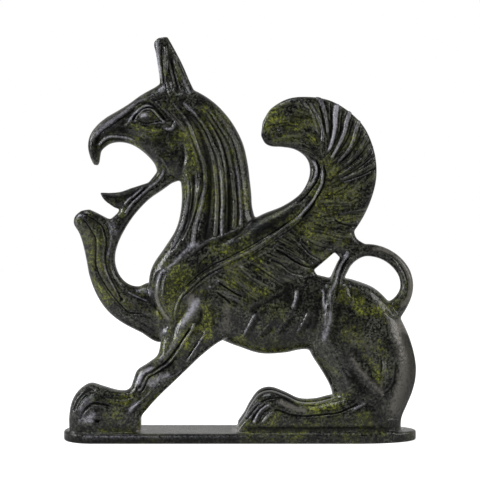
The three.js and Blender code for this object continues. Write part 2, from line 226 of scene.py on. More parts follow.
def planted_leg(shells):
    limb(shells, [
        (-50, 158, 3, 142, 10), (-66, 130, 1, 112, 13, -10), (-76, 104, -9, 97, 13, -10),
        (-79.5, 88, -24, 87.5, 12.5, -10), (-82.5, 76.5, -39.5, 75, 12), (-92, 68.6, -53, 62, 12),
        (-102.5, 61.5, -67, 48.5, 12), (-106.8, 51, -80, 36, 12), (-110, 43.5, -91, 24, 12),
        (-120, 38, -99.5, 12, 12.5), (-130, 30, -102, SOLE, 13),
    ], rows=110, back=-9)
    back = -9.5
    half = PAW_REACH + back
    limb(shells, [
        (-98.5, 12, -99.5, SOLE, half - 9), (-102.5, 33, -103.5, SOLE, half - 4),
        (-110, 40, -111, SOLE, half - 2), (-123, 41.5, -123, SOLE, half - 1), (-137, 45.5, -136, SOLE, half),
        (-149, 48.6, -149, SOLE, half), (-159.8, 42.5, -158, SOLE, half - 1.5, back + 0.5),
        (-167.2, 32, -165, SOLE, half - 4, back + 1.5), (-170.5, 19, -169.5, SOLE, half - 7, back + 2.5),
        (-170.5, 6, -170, SOLE, half - 8.5, back + 3),
    ], square=2.8, back=back)


def raised_leg(shells):
    limb(shells, [
        (-54, 94, -54, 142, 10, 6), (-81, 87, -88, 148, 12.5, 8), (-99.5, 97, -102, 144, 12, 7),
        (-118, 106.8, -113, 147, 11, 6), (-132.5, 118.5, -121, 155.5, 10.5, 5),
        (-143, 133.5, -125, 167, 10, 4), (-150.5, 152.5, -124.7, 178, 9.5, 3),
        (-154, 171, -121.5, 189, 9.5, 2), (-157.5, 187.5, -119, 199, 9.5, 1), (-161, 198, -124, 209, 9.5),
        (-166.1, 207, -132, 212.5, 9), (-165, 214.5, -142, 217.7, 8), (-159, 220.1, -150.5, 221.6, 5),
    ], rows=120)


def wing_corner(shells):
    """The wing's trailing edge meets the back in a round corner."""
    limb(shells, [(66, 162, 66, 152, 9), (72, 161, 72.5, 152.5, 8), (75.4, 159.5, 76.4, 153.5, 6)], rows=20)


def tail(shells):
    path = [
        (140, 106, 13, 10), (151.5, 118, 11, 9), (160.5, 127.5, 8.2, 8), (166, 138, 6.8, 7),
        (166.9, 148.5, 6.5, 6.5), (163.8, 159, 6.4, 6.5), (156.8, 168.3, 6.3, 6.5), (147.5, 175.3, 6.2, 6.5),
        (136.5, 179.6, 6.2, 6.5), (124.5, 180.6, 6.3, 6.5), (113.5, 176.8, 7, 7.5), (105.5, 169, 6.8, 9),
        (100.5, 159.5, 6.6, 13), (95.5, 149, 6.2, 20), (91, 139, 5.6, 23.5), (88, 130, 5, 25),
        (87, 121, 4.6, 25), (89, 112, 3.4, 23),
    ]
    t = np.linspace(0, 1, 60)
    places = spline(path, t)
    along = np.gradient(places[:, :2], axis=0)
    along /= np.linalg.norm(along, axis=1)[:, None]
    stations = []
    for (x, z, half, thick), (dx, dz) in zip(places, along):
        stations.append((x - dz * half, z + dx * half, x + dz * half, z - dx * half, thick))
    limb(shells, stations, rows=180, ring=36)
    limb(shells, [(91, 184, 113, 206, 8), (96, 177, 116.5, 193, 7), (103, 171, 127, 186, 6.5)], rows=30)


def wing(shells):
    """A long blade with a smooth band along its front, which narrows toward the tip."""
    root_share, tip_share = 0.48, 0.1

    def carve(t, across):
        share = root_share + (tip_share - root_share) * t
        past = across - (2 * share - 1)
        fade = 1 - smooth_step(0.84, 0.9, t)
        return BAND_STEP * smooth_step(0, 0.06, past) * fade

    limb(shells, [
        (-73, 112, -60, 104, 22), (-84, 135, -36, 107, 24), (-81.5, 158, -12, 112, 25),
        (-57, 175, 12, 123, 25), (-27, 189, 35, 135, 24.5), (0, 203.5, 58, 149, 23), (21, 216, 80, 166, 18),
        (43, 225, 101, 185, 14), (59.5, 236.5, 118.5, 206, 11), (68, 250.5, 130.5, 230, 10),
        (69.6, 263, 136.3, 256, 9.5), (65.5, 273.5, 132.6, 284, 9), (55, 281, 119, 309.5, 8.5),
        (42, 283.6, 90, 329.8, 8), (31.5, 284.2, 55, 333.2, 7.5), (24.8, 287.5, 32.5, 323.3, 7),
        (20.8, 295, 22.6, 309, 5),
    ], rows=220, ring=96, square=3.2, carve=carve)


def plinth(shells):
    """A slab with oval ends and rounded edges, lofted upward."""
    half = PLINTH_DEPTH / 2
    around = np.pi * (0.5 + np.arange(48) / 47)
    toes = PLINTH_START + TOE_END * (1 + np.cos(around))
    heels = PLINTH_END - HEEL_END * (1 - np.cos(around + np.pi))
    ring_x = np.concatenate([toes, heels])
    ring_y = half * np.concatenate([np.sin(around), np.sin(around + np.pi)])
    turns = np.pi / 2 * np.arange(9) / 8
    levels = [(PLINTH_EDGE * (1 - math.sin(t)), PLINTH_EDGE * (1 - math.cos(t))) for t in turns]
    levels += [(inset, PLINTH_THICKNESS - z) for inset, z in reversed(levels)]
    middle = (PLINTH_START + PLINTH_END) / 2
    half_length = (PLINTH_END - PLINTH_START) / 2
    rows = []
    for inset, z in levels:
        x = middle + (ring_x - middle) * (1 - inset / half_length)
        y = ring_y * (1 - inset / half)
        rows.append(np.column_stack([x, y, np.full(len(x), z)]))
    ends = np.array([(middle, 0, levels[0][1]), (middle, 0, levels[-1][1])])
    shells.add(np.concatenate(rows + [ends]), tube_faces(len(levels), len(ring_x)))


# One skin

def placed(name, data):
    """A new object in the scene."""
    obj = bpy.data.objects.new(name, data)
    bpy.context.scene.collection.objects.link(obj)
    return obj


def fused(shells):
    """The shells as one skin of even cells."""
    obj = placed("griffin", shells.mesh("griffin"))
    remesh = obj.modifiers.new("skin", "REMESH")
    remesh.mode = "VOXEL"
    remesh.voxel_size = VOXEL
    apply_modifiers(obj)
    return obj


def apply_modifiers(obj):
    graph = bpy.context.evaluated_depsgraph_get()
    graph.update()
    made = bpy.data.meshes.new_from_object(obj.evaluated_get(graph))
    old = obj.data
    obj.modifiers.clear()
    obj.data = made
    bpy.data.meshes.remove(old)


def read_points(mesh):
    flat = np.empty(len(mesh.vertices) * 3, np.float32)
    mesh.vertices.foreach_get("co", flat)
    return flat.reshape(-1, 3).astype(float)


def write_points(mesh, points):
    mesh.vertices.foreach_set("co", points.astype(np.float32).ravel())
    mesh.update()


def normals_of(mesh):
    flat = np.empty(len(mesh.vertices) * 3, np.float32)
    mesh.vertex_normals.foreach_get("vector", flat)
    return flat.reshape(-1, 3).astype(float)


class Rounding:
    """Pulls each point toward the middle of its neighbours."""

    def __init__(self, mesh):
        pairs = np.empty(len(mesh.edges) * 2, np.int32)
        mesh.edges.foreach_get("vertices", pairs)
        self.a, self.b = pairs.reshape(-1, 2).T
        self.count = len(mesh.vertices)
        self.degree = np.bincount(self.a, minlength=self.count) + np.bincount(self.b, minlength=self.count)

    def pull(self, points):
        middle = np.empty_like(points)
        for k in range(3):
            total = np.bincount(self.a, points[self.b, k], self.count)
            total += np.bincount(self.b, points[self.a, k], self.count)
            middle[:, k] = total / self.degree
        return middle - points


def rounded(mesh):
    """Softens the joins between the limbs: hollows fill more than edges wear. The plinth keeps its edges."""
    points = read_points(mesh)
    rounding = Rounding(mesh)
    above = smooth_step(1.5 * MM, 3.5 * MM, points[:, 2])[:, None]
    for _ in range(EVEN_PASSES):
        points = points + 0.5 * rounding.pull(points) * (0.25 + 0.75 * above)
    write_points(mesh, points)
    normals = normals_of(mesh)
    for i in range(FILL_PASSES):
        pull = rounding.pull(points)
        rise = np.einsum("ij,ij->i", pull, normals)
        fill = np.where(rise > 0, 1.0, EDGE_WEAR)[:, None]
        points = points + 0.55 * pull * fill * above
        if i % 10 == 9:
            write_points(mesh, points)
            normals = normals_of(mesh)
    write_points(mesh, points)


# Carving

class Carving:
    """Lines and patches drawn in side view, for both faces. Heights are in millimetres, widths in grid units.
    Beside the height it keeps, each from 0 to 1, how much painted highlight over polished places, moss, metal
    showing through with painted sheen, and painted shade each point gets.

    A line takes its height or depth, its width, its shine where it has one, which is a painted highlight, its
    path, and the shares of its length over which it fades in at the start and out at the end. A pair of widths
    is one for each end."""

    def __init__(self, points):
        near = np.abs(points[:, 1])
        scale = VIEW_DISTANCE / (VIEW_DISTANCE - near)
        x = points[:, 0] * scale
        z = VIEW_AIM + (points[:, 2] - VIEW_AIM - near * math.tan(VIEW_TILT)) * scale
        self.x = x / UNIT + SHEET_X
        self.y = SHEET_Y - (z - PLINTH_THICKNESS) / UNIT
        self.height, self.polish, self.moss, self.bare, self.painted_shade = np.zeros((5, len(points)))
        self.order = np.argsort(self.x)
        self.sorted_x = self.x[self.order]

    def near(self, low, high):
        """Indices of the points inside a box on the sheet."""
        first = np.searchsorted(self.sorted_x, low[0])
        last = np.searchsorted(self.sorted_x, high[0])
        ids = self.order[first:last]
        return ids[(self.y[ids] > low[1]) & (self.y[ids] < high[1])]

    def measure(self, path, reach):
        """Points near a path, with their distance, which side they are on, and how far along it they lie."""
        path = np.asarray(path, float)
        if len(path) > 2:
            length = np.linalg.norm(np.diff(path, axis=0), axis=1).sum()
            path = spline(path, np.linspace(0, 1, max(int(length / 2.5), 8)))
        ids = self.near(path.min(0) - reach, path.max(0) + reach)
        spots = np.stack([self.x[ids], self.y[ids]], 1)
        best = np.full(len(ids), 1e9)
        side = np.zeros(len(ids))
        along = np.zeros(len(ids))
        pieces = len(path) - 1
        for i in range(pieces):
            a = path[i]
            step = path[i + 1] - a
            size = step @ step
            rel = spots - a
            t = np.clip(rel @ step / size, 0, 1)
            gap = rel - t[:, None] * step
            d = np.einsum("ij,ij->i", gap, gap)
            closer = d < best
            best[closer] = d[closer]
            cross = step[0] * rel[:, 1] - step[1] * rel[:, 0]
            side[closer] = np.sign(cross[closer])
            along[closer] = (i + t[closer]) / pieces
        return ids, np.sqrt(best), side, along

    def taper(self, along, start, end):
        """Fades a line in and out at its ends. An end of zero stays round."""
        grow = smooth_step(0, start, along) if start else 1.0
        fade = smooth_step(0, end, 1 - along) if end else 1.0
        return grow * fade

    def across(self, path, wide, reach, start, end, margin=0):
        """Points near a line, their distance from it in shares of its width, the width, and its strength."""
        first, last = wide if isinstance(wide, tuple) else (wide, wide)
        ids, d, _, along = self.measure(path, max(first, last) * reach + margin)
        width = first + (last - first) * along
        return ids, d / width, width, self.taper(along, start, end)

    def ridge(self, high, wide, shine, path, start=0.12, end=0.12):
        """A raised line with a fine cut on both sides, with a painted highlight along its top."""
        ids, off, _, strength = self.across(path, wide, 4, start, end)
        top = np.exp(-(off**2))
        self.height[ids] += high * (top - 0.5 * np.exp(-(((off - 2) / 0.8) ** 2))) * strength
        self.polish[ids] = np.maximum(self.polish[ids], shine * top * strength)

    def fold(self, high, wide, path, start=0.25, end=0.25):
        """A soft rounded swelling along a line, or a soft hollow where high is below zero."""
        ids, off, _, strength = self.across(path, wide, 2.5, start, end)
        self.height[ids] += high * np.exp(-(off**2)) * strength

    def groove(self, deep, wide, path, start=0.1, end=0.1):
        self.fold(-deep, wide, path, start, end)

    def feather(self, high, wide, shine, path, start=0.06, end=0.1):
        """A flat-topped vane with a cut at both edges, and a painted highlight along its top."""
        ids, off, width, strength = self.across(path, wide, 2.5, start, end, margin=2)
        top = 1 / (1 + off**6)
        cut = np.exp(-(((off - 1.4) * width / 0.75) ** 2))
        self.height[ids] += high * (top - 0.9 * cut) * strength
        self.polish[ids] = np.maximum(self.polish[ids], shine * top * strength)

    def ramp(self, drop, reach, side, path, start=0.0, end=0.0):
        """A slope that falls from a line on one side, down to drop at reach, and rises again beyond it."""
        ids, d, which, along = self.measure(path, reach * 5)
        away = d * which * side / reach
        down = np.clip(away, 0, 1) * np.exp(-np.maximum(away - 1, 0) * 1.2)
        self.height[ids] -= drop * down * self.taper(along, start, end)

    def undercut(self, deep, fall, side, path, edge=0.5, start=0.1, end=0.1):
        """A steep drop along one side of a line, which rises again away from it."""
        ids, d, which, along = self.measure(path, fall * 4)
        away = d * which * side
        down = 0.5 * (1 + np.tanh((away - edge) / edge)) * np.exp(-((np.maximum(away, 0) / fall) ** 2))
        self.height[ids] -= deep * down * self.taper(along, start, end)

    def swell(self, x, y, wide, tall, high, turn=0, power=1):
        """An oval boss."""
        reach = max(wide, tall)
        ids = self.near((x - reach, y - reach), (x + reach, y + reach))
        dx = self.x[ids] - x
        dy = self.y[ids] - y
        c, s = math.cos(math.radians(turn)), math.sin(math.radians(turn))
        r = ((dx * c + dy * s) / wide) ** 2 + ((dy * c - dx * s) / tall) ** 2
        self.height[ids] += high * np.clip(1 - r, 0, 1) ** power

    def stain(self, field, amount, wide, path, start=0, end=0):
        """A soft patch along a path in one of the four fields: painted highlight, moss, metal showing through
        with painted sheen, and painted shade.
        """
        ids, off, _, strength = self.across(path, wide, 2.2, start, end)
        field[ids] = np.maximum(field[ids], amount * np.exp(-(off**2)) * strength)

    def stains(self, field, rows):
        for row in rows:
            self.stain(field, *row)

    def feather_lines(self):
        """Where each point of the feathers lies across them and along them, and how surely it is on them."""
        longest, fan, fan_end = 84, 20, 2.2
        lines = np.zeros((len(self.x), 3))
        ids, d, side, along = self.measure(BAND, longest + 1)
        hub = np.array(BAND[-1])
        outward = np.array([BAND[-2][1] - BAND[-1][1], BAND[-1][0] - BAND[-2][0]])
        away = np.stack([self.x[ids], self.y[ids]], 1) - hub
        turn = np.arctan2(outward[0] * away[:, 1] - outward[1] * away[:, 0], away @ outward)
        past = along > 0.999
        turned = np.where(past, np.clip(-turn, 0, 3), 0)
        lines[ids, 0] = along * BAND_LENGTH + turned * fan - FEATHER_SLANT * d
        lines[ids, 1] = d
        outer = np.where(past, turned < fan_end, side > 0)
        fade = smooth_step(3, 8, d) * (1 - smooth_step(70, longest, d))
        below_flank = self.y[ids] - (309 - 0.5 * (self.x[ids] - SHEET_X))
        behind_chest = smooth_step(205, 218, self.x[ids])
        lines[ids, 2] = outer * fade * (1 - smooth_step(-6, 2, below_flank)) * behind_chest
        return lines


def each(draw, rows):
    """Draws one line for each row of its values."""
    for row in rows:
        draw(*row)


def moved(path, x, y):
    return np.array(path) + np.array([x, y])


def carve_mane(c):
    """Three flat locks and three rounded ones run from the brow down to the wing, with cuts between them."""
    flats = [
        [(165, 105.6), (174.3, 114.9), (182.6, 125.2), (188.8, 135.5), (193.9, 147.9), (197, 158.3),
         (199.6, 168.6), (200.6, 176.9), (200.1, 186.1), (198, 195.4), (195, 206.8), (191.9, 217.1),
         (187.7, 227.5), (184, 238)],
        [(188, 112), (198.9, 125.2), (206.1, 137.6), (211.5, 152), (214.6, 166.5), (216.1, 178.9),
         (217.2, 191.3), (217.2, 201.6), (216.7, 217.1), (215.6, 234)],
        [(200, 104), (209.4, 116.9), (215.6, 126.2), (221.8, 136.6), (225.9, 146.9), (229, 158.2),
         (231.6, 170.6), (233.2, 183), (234.7, 196.5), (235.2, 212), (234, 227)],
    ]
    rounds = [
        [(170, 99), (178.4, 108.7), (184.6, 116.9), (189.8, 126.2), (196, 142.8), (200.1, 154.1),
         (203.7, 162.4), (204.8, 175.8), (204.8, 186.1), (203.2, 194.4), (201.2, 204.7), (198, 217.1),
         (195, 227.5), (192.6, 245)],
        [(181, 100.5), (188.8, 108.7), (195, 113.8), (202.2, 122.1), (208.4, 133.5), (212.5, 143.8),
         (216.7, 152), (219.8, 164.4), (221.3, 175.8), (222, 191.3), (222.3, 203), (221.5, 217),
         (221.8, 235)],
        [(205, 106), (211.5, 112.8), (217.7, 122.1), (223.9, 131.4), (229, 139.7), (232.7, 150),
         (235.2, 162.4), (237.8, 175.8), (238.9, 187.2), (239.9, 199.6), (240.4, 212), (240.4, 224)],
    ]
    for path, high, wear_and_sheen in zip(flats, (0.12, 0.36, 0.36), (0.0, 0.6, 0.6)):
        c.feather(high, (1.1, 1.8), wear_and_sheen / 15, path, 0.12, 0)
        c.stain(c.bare, wear_and_sheen, 1.8, path[-5:], 0.4)
        c.stain(c.bare, 0.55, 1.2, path[:8], 0.1, 0.3)
    for path in rounds:
        c.ridge(0.6, (0.75, 1.3), 0.15, path, 0.1, 0)
        c.stain(c.polish, 0.7, (0.8, 1.3), path[-7:], 0.35)
        c.stain(c.polish, 0.35, 0.8, path[:7], 0.1, 0.3)
    front = [(186.6, 172), (188.8, 186.1), (188.2, 199.6), (186.2, 212), (183.6, 222.3), (179.5, 232.6),
             (175.3, 241.9), (169, 250)]
    c.ridge(0.5, 0.9, 0.6, front, 0.15, 0.1)
    each(c.fold, [
        (-0.6, 2.3, [(193.5, 170), (194.6, 182), (193, 201), (190, 214), (184, 229), (178, 242)], 0.1),
        (-0.6, 2.9, [(192, 118), (203, 142), (209, 168), (210.5, 190), (209, 212), (205, 236)], 0.2, 0),
        (-0.6, 2.6, [(206, 114), (219, 136), (225.5, 158), (228, 180), (228.6, 205), (227.5, 230)], 0.2, 0),
    ])
    each(c.swell, [(193, 245, 5, 4.4, 0.4), (221.3, 233.5, 3.2, 3.2, 0.35), (240.4, 222.5, 2.4, 3, 0.3)])
    # Painted highlights, painted sheen and painted shade on the locks.
    c.stains(c.polish, [
        (0.9, 2.6, [(189, 245.5), (196.5, 244)]), (0.75, 1.1, [(184, 102.6), (190, 108), (196, 113.5)]),
    ])
    c.stain(c.bare, 0.4, 9, [(190, 128), (206, 150), (216, 172), (222, 188)])
    c.stains(c.painted_shade, [
        (0.5, 3.2, [(226, 122), (235, 138), (241, 154), (244.6, 174)]),
        (1, 3.8, [(210, 186), (209, 210), (206, 236)]), (1, 3.8, [(227.5, 186), (228.6, 208), (228, 230)]),
        (1, 3.8, [(193.2, 196), (190.5, 214), (184, 232)]),
        (0.75, 2, [(184, 110), (196, 123), (203.5, 138), (208.5, 156), (211, 176)], 0.1),
        (0.75, 2, [(197, 108), (211, 123), (220, 140), (225.5, 158), (228, 176)], 0.1),
    ])


def carve_beak(c):
    """The crest from the brow down the beak, and the lip of its gape."""
    crest = [(148, 98.8), (142.2, 99.8), (135.9, 102.9), (128.9, 108.6), (123.3, 112.8), (114.2, 118.4),
             (107.2, 123.3), (99.1, 128.9), (96, 134), (93.5, 140.1), (91.4, 147)]
    lip = [(98, 145.8), (101.5, 142.2), (105.1, 138.7), (109.3, 136.3), (115.6, 135.9), (123.3, 136.6),
           (131.7, 138.7), (136.5, 141.5)]
    c.undercut(1.25, 8.5, -1, crest[2:], 0.6, 0.1, 0.15)
    each(c.ridge, [(0.55, 1, 0.55, crest, 0.1, 0.2), (0.5, 0.95, 0.8, lip)])
    c.groove(0.5, 0.8, [(99.8, 148.2), (104.2, 142.6), (110.5, 139), (119, 138.6), (128, 140.4)])
    c.fold(-0.45, 2.2, [(126.5, 114), (125.5, 120.5), (121.5, 127)])
    # Painted highlights on the crest and lip, painted sheen above the crest, and painted shade below it.
    c.stains(c.polish, [
        (1, 2.4, [(97.6, 133), (105.5, 125.6), (114, 119.8)]),
        (0.85, 1.7, [(114, 119), (124, 112.4), (134, 104.8)]),
    ])
    c.stain(c.bare, 0.8, 3.2, [(143, 94), (130, 103), (118, 111), (106, 118.5), (97, 125.5), (91, 135)])
    c.stains(c.painted_shade, [
        (0.9, 2, [(98.5, 135), (106, 128), (114, 122.8), (123, 117), (130, 112)]),
        (0.65, 6.5, [(97, 150), (102, 138), (112, 130), (126, 124)]),
        (0.5, 5, [(140, 100), (120, 113), (104, 124), (94, 140)]),
    ])


def carve_eye(c):
    """A ball between two lids, under the brow, with a painted highlight on it and painted shade below that."""
    each(c.ridge, [
        (0.65, (1.4, 0.9), 0.75, [(129.3, 122.6), (130.3, 119.1), (133.1, 114.9), (137.3, 110.7),
         (142.2, 107.2), (147.2, 105.1), (152.4, 106.1), (156.5, 109.5)], 0.05, 0.3),
        (0.55, 0.85, 0.65, [(135.6, 119.8), (137.3, 115.9), (140.1, 112.1), (143.6, 109.3), (148.6, 108.2),
         (152.8, 109.3), (157, 113.5), (160.5, 117.7), (163.3, 120.1), (167, 124)], 0.06),
        (0.25, 1, 0.1, [(129, 124.4), (140, 127.6), (151, 130), (161, 129.6)]),
        (0.4, 0.8, 0.25, [(154.9, 101.9), (158.4, 103.3), (163.3, 107.9), (168.9, 113.5), (175.2, 119.8),
         (180.1, 124.7), (185.1, 131.7), (188.6, 140.1)], 0.12, 0.35),
        (0.45, 1, 0.6, [(165.4, 127.8), (171.7, 128.9), (174.5, 123.3), (175.2, 120.2)]),
    ])
    each(c.groove, [
        (0.6, 0.7, [(133, 120), (135, 115.5), (139.2, 111), (144, 107.6), (150, 106.6), (155.4, 109)]),
        (0.65, 0.8, [(138, 119.1), (142.2, 122.2), (148.6, 122.6), (154.9, 121.2), (161, 121)]),
        (0.7, 1.3, [(141, 103.6), (147, 101.9), (152.6, 104.6), (158, 110), (163.5, 117), (168, 123.5)]),
    ])
    c.fold(-0.5, 5, [(131, 121), (134, 113.5), (141, 107.5), (149, 106.5), (157, 112), (165, 121)],
           0.05, 0.05)
    each(c.swell, [(146.5, 116.4, 10.5, 5.6, 0.35, 6), (145, 115.8, 5.8, 4.7, 1, -6, 0.6)])
    c.stains(c.polish, [
        (1, 2.1, [(143.8, 114.9), (146.2, 114.8)]), (0.3, 1.4, [(133, 130), (143.6, 132.6)]),
        (0.85, 1.3, [(166.4, 128), (170.6, 128.6)]),
    ])
    c.stain(c.bare, 0.8, 3.8, [(142.4, 115.6), (148, 115.8)])
    c.stain(c.painted_shade, 0.8, 3.6, [(142, 117.4), (150, 117.2)])


def carve_cheek(c):
    c.ridge(0.25, 0.9, 0.3, [(159, 154.5), (162, 159), (165.8, 163.8), (168.6, 170.5), (167, 177)])
    each(c.fold, [
        (-0.3, 3, [(122, 127.5), (132, 134), (142, 137), (152, 143)]),
        (0.3, 2, [(171.7, 143.6), (175.2, 150.7), (176, 161.2)]),
        (-0.45, 3, [(180, 140), (183, 152), (182.5, 165)]), (-0.3, 3.5, [(163, 148), (168, 157)]),
    ])
    # Painted shade on the cheek.
    c.stain(c.painted_shade, 0.35, 9, [(155, 140), (172, 156)])


def carve_jaw(c):
    """Lines along the lower jaw, which run down onto the beard."""
    each(c.ridge, [
        (0.55, 0.9, 0.85, [(164, 166), (162.9, 172.9), (159.6, 177.6), (156.9, 181), (151.5, 185),
         (146.2, 189.7), (141.5, 193.7), (137.5, 197.7), (133.4, 201), (130.1, 205.1), (127.4, 209.8),
         (124, 216)], 0.05),
        (0.5, 0.85, 0.85, [(144.4, 184.8), (139.5, 190.3), (136.1, 193), (132.1, 196.4), (129.4, 197.7),
         (126.7, 201), (123.6, 205)]),
    ])
    c.groove(0.5, 0.8, [(146, 187), (139, 193), (133, 198.6), (128, 204.4)])
    # Painted shade along the jaw.
    c.stain(c.painted_shade, 0.75, 5, [(104, 193), (118, 196), (132, 192), (146, 185)])


def carve_ear(c):
    """A slanted front edge, a ridge, a hollow and a second ridge."""
    c.ramp(1, 4.5, 1, [(158.6, 40), (159.6, 52), (160.7, 64.4), (161.8, 80)], 0, 0.1)
    each(c.ridge, [
        (0.3, 0.8, 0.35, [(158.7, 40), (159.6, 46), (160, 54), (161, 66)]),
        (0.4, 0.9, 0.2, [(165.2, 45.3), (166.4, 51.4), (166.4, 60.6), (166.8, 66.7), (166.6, 75)]),
        (0.35, 0.7, 0.35, [(167.5, 81), (168.3, 88.2), (169.8, 92.4), (171.4, 87.4), (171, 80)]),
        (0.45, 1, 0.2, [(172.9, 53), (176.7, 64.4), (180.6, 73.6), (184.4, 81.3), (186.7, 86.6), (189.7, 93)],
         0.2, 0.05),
    ])
    c.groove(0.45, 0.9, [(162.2, 44), (162.9, 58), (163.6, 72), (165, 84)])
    c.fold(-1, 2.4, [(169.1, 55), (172.9, 68.3), (176.7, 83.6), (180.6, 92.7)], 0.2, 0.1)
    # A painted highlight on the ear's front edge, and painted shade in its hollows.
    c.stains(c.polish, [
        (0.95, 1.5, [(156.4, 43), (157.6, 53), (159, 64), (160.8, 77)]),
        (0.8, 1.1, [(183.5, 79.5), (190, 93.2)]), (0.8, 1.3, [(159.4, 89.4), (163, 86.8)]),
    ])
    c.stains(c.painted_shade, [(0.6, 2.6, [(163, 56), (165, 84)]), (0.75, 3, [(170.5, 60), (174, 76), (179, 90)])])


def carve_band(c):
    """The wing's leading edge, and the smooth band behind it."""
    lead = [(163, 270), (172, 264.6), (181.6, 257.9), (190.2, 253.6), (200, 245.4), (208, 240.2),
            (217, 236.6), (226, 233.6), (235, 229.6), (243, 225.2), (251, 220.6)]
    above = [(183, 288.5), (192.1, 279.6), (199.7, 273.2), (207.4, 267.6), (216, 262.8), (225, 258.6),
             (234.9, 253.4), (247.7, 246.6), (257.6, 240.8), (267.5, 234.7), (278.4, 227.8), (288.3, 220.9),
             (299, 213)]
    each(c.ridge, [
        (0.5, 1, 0.22, lead, 0.05, 0.25), (0.6, 0.9, 0.15, BAND, 0.02, 0.1),
        (0.4, 0.8, 0.3, [(180, 311), (180.6, 303), (184, 297), (190, 290.6), (198.6, 283), (207.4, 276.6),
         (217, 270.6), (228, 264.6)], 0.05, 0.2),
        (0.25, 0.9, 0.08, [(230.9, 269), (244.8, 262.1), (257.6, 255.2), (266.5, 250.2), (277.4, 243.3),
         (286.3, 239.3)], 0.2, 0.2),
    ])
    each(c.groove, [
        (0.7, 0.8, above, 0.05),
        (0.5, 1, [(244, 259), (253, 254), (262, 248), (273, 240.5), (284, 232.8), (294, 225.4), (303, 217),
         (311, 207.4), (315.6, 200)]),
    ])
    c.fold(-0.4, 2.6, moved(lead[4:], 1.5, 5))
    # Painted highlights on the band, and painted shade where its upper side would catch the light above.
    c.stains(c.polish, [
        (0.8, 1, BAND[15:24], 0.3, 0.1), (0.65, (2.3, 1.6), [(193, 246), (183, 253), (172, 264), (163, 272)]),
    ])
    c.stain(c.bare, 0.35, 1.2, BAND[7:16])
    c.stains(c.painted_shade, [
        (0.8, (5, 2.5), [(236, 236), (252, 226), (266, 216), (281, 208), (296, 198)]),
        (0.95, (7, 3), [(256, 231), (279, 218), (297, 205)]),
    ])


def carve_curl(c):
    """Two rims inside the curl with painted highlights, and the vanes of its tip between black gaps of painted
    shade.
    """
    rim = [(286, 205.6), (298.3, 196.9), (303.4, 191.7), (308.6, 186.5), (312.1, 182.2), (315.1, 176.3),
           (316.4, 170.2), (314.4, 163), (309.8, 157.4), (304.2, 151.6), (298, 148)]
    gaps = [
        [(319, 106), (322, 116), (324.6, 128)], [(330.3, 101), (330.6, 113), (330.6, 125), (329.8, 137)],
        [(342.8, 107), (340.6, 119), (339.6, 130), (334.6, 143)],
        [(355, 113.5), (350.2, 127), (347, 138), (335.6, 156)],
        [(363.4, 125), (356.6, 142), (349, 153), (339.6, 162)],
        [(371, 138.5), (360.6, 153), (349.6, 163.6), (337, 172)],
        [(376, 152.5), (362, 164.6), (349, 173), (336.4, 179)],
        [(377.2, 166), (364, 173), (352, 177.6), (341, 181)], [(309, 99), (313, 106), (317, 114)],
    ]
    for gap in gaps:
        c.groove(0.6, 1, gap, 0.05, 0.15)
        c.stain(c.painted_shade, 0.85, 1.3, gap)
    strokes = [
        [(298, 98.5), (303, 105), (307, 110)], [(303.4, 119.3), (307, 125), (310.3, 131)],
        [(302, 132), (307, 137)], [(302, 140.2), (307.5, 142.6)], [(286, 112), (292, 117)],
        [(276, 127), (284, 132)], [(292, 124), (299, 129)],
    ]
    for stroke in strokes:
        c.groove(0.35, 0.9, stroke, 0.3, 0.3)
    c.ridge(0.5, 0.9, 0.2, rim[1:], 0.3, 0.35)
    each(c.feather, [
        (0.15, (1.1, 0.8), 0.35, [(300, 98), (308, 108), (314, 120), (317.6, 134)]),
        (0.3, (1.5, 1.2), 0.4, [(309.4, 101), (315.5, 112.4), (319, 120.1), (321.5, 127), (322.4, 134.8),
         (321.5, 143)]),
        (0.5, (2.1, 1.1), 0.5, [(315.6, 95.6), (320.7, 101.2), (323.3, 108.1), (325, 115), (326.7, 124.5),
         (327.6, 134)]),
        (0.6, (2.5, 1.1), 1, [(336.8, 102.5), (334.9, 115.8), (334.9, 124.5), (333.6, 133.1), (331, 143.4),
         (328, 151)]),
        (0.55, (2.2, 1.1), 0.7, [(350.4, 109.5), (346.5, 120.2), (344.8, 128.8), (341.4, 138.3),
         (336.2, 148.6), (330.6, 158.8)]),
        (0.45, (1.8, 0.9), 0.5, [(359.6, 118.5), (355.2, 130.5), (353.4, 138.3), (350, 146), (343.9, 154.6),
         (336.4, 162)]),
        (0.3, (1.3, 0.8), 0.16, [(367.6, 133), (360.3, 146.9), (355.1, 154.6), (349.1, 160.7),
         (340.6, 167.2)]),
        (0.25, (1.1, 0.7), 0.1, [(374.6, 143), (366.3, 153.8), (357.7, 161.5), (347.4, 169.3),
         (336.2, 176.2)]),
        (0.22, (0.8, 0.6), 0.18, [(376.4, 158.6), (368.9, 165), (362, 169.3), (353.4, 173.6),
         (343.6, 177.4)]),
    ])
    each(c.groove, [
        (0.9, 0.9, [(296, 203.6), (305.5, 195), (311, 188.4), (316, 181), (318.9, 173.5), (318.6, 165),
         (314, 156.4)]),
        (0.8, 1, [(300, 219), (308, 210), (314.6, 200), (320.4, 190), (324.4, 180), (325, 170.5),
         (322.6, 162.6)]),
    ])
    c.stain(c.polish, 0.9, 1, rim[2:9], 0.35, 0.15)


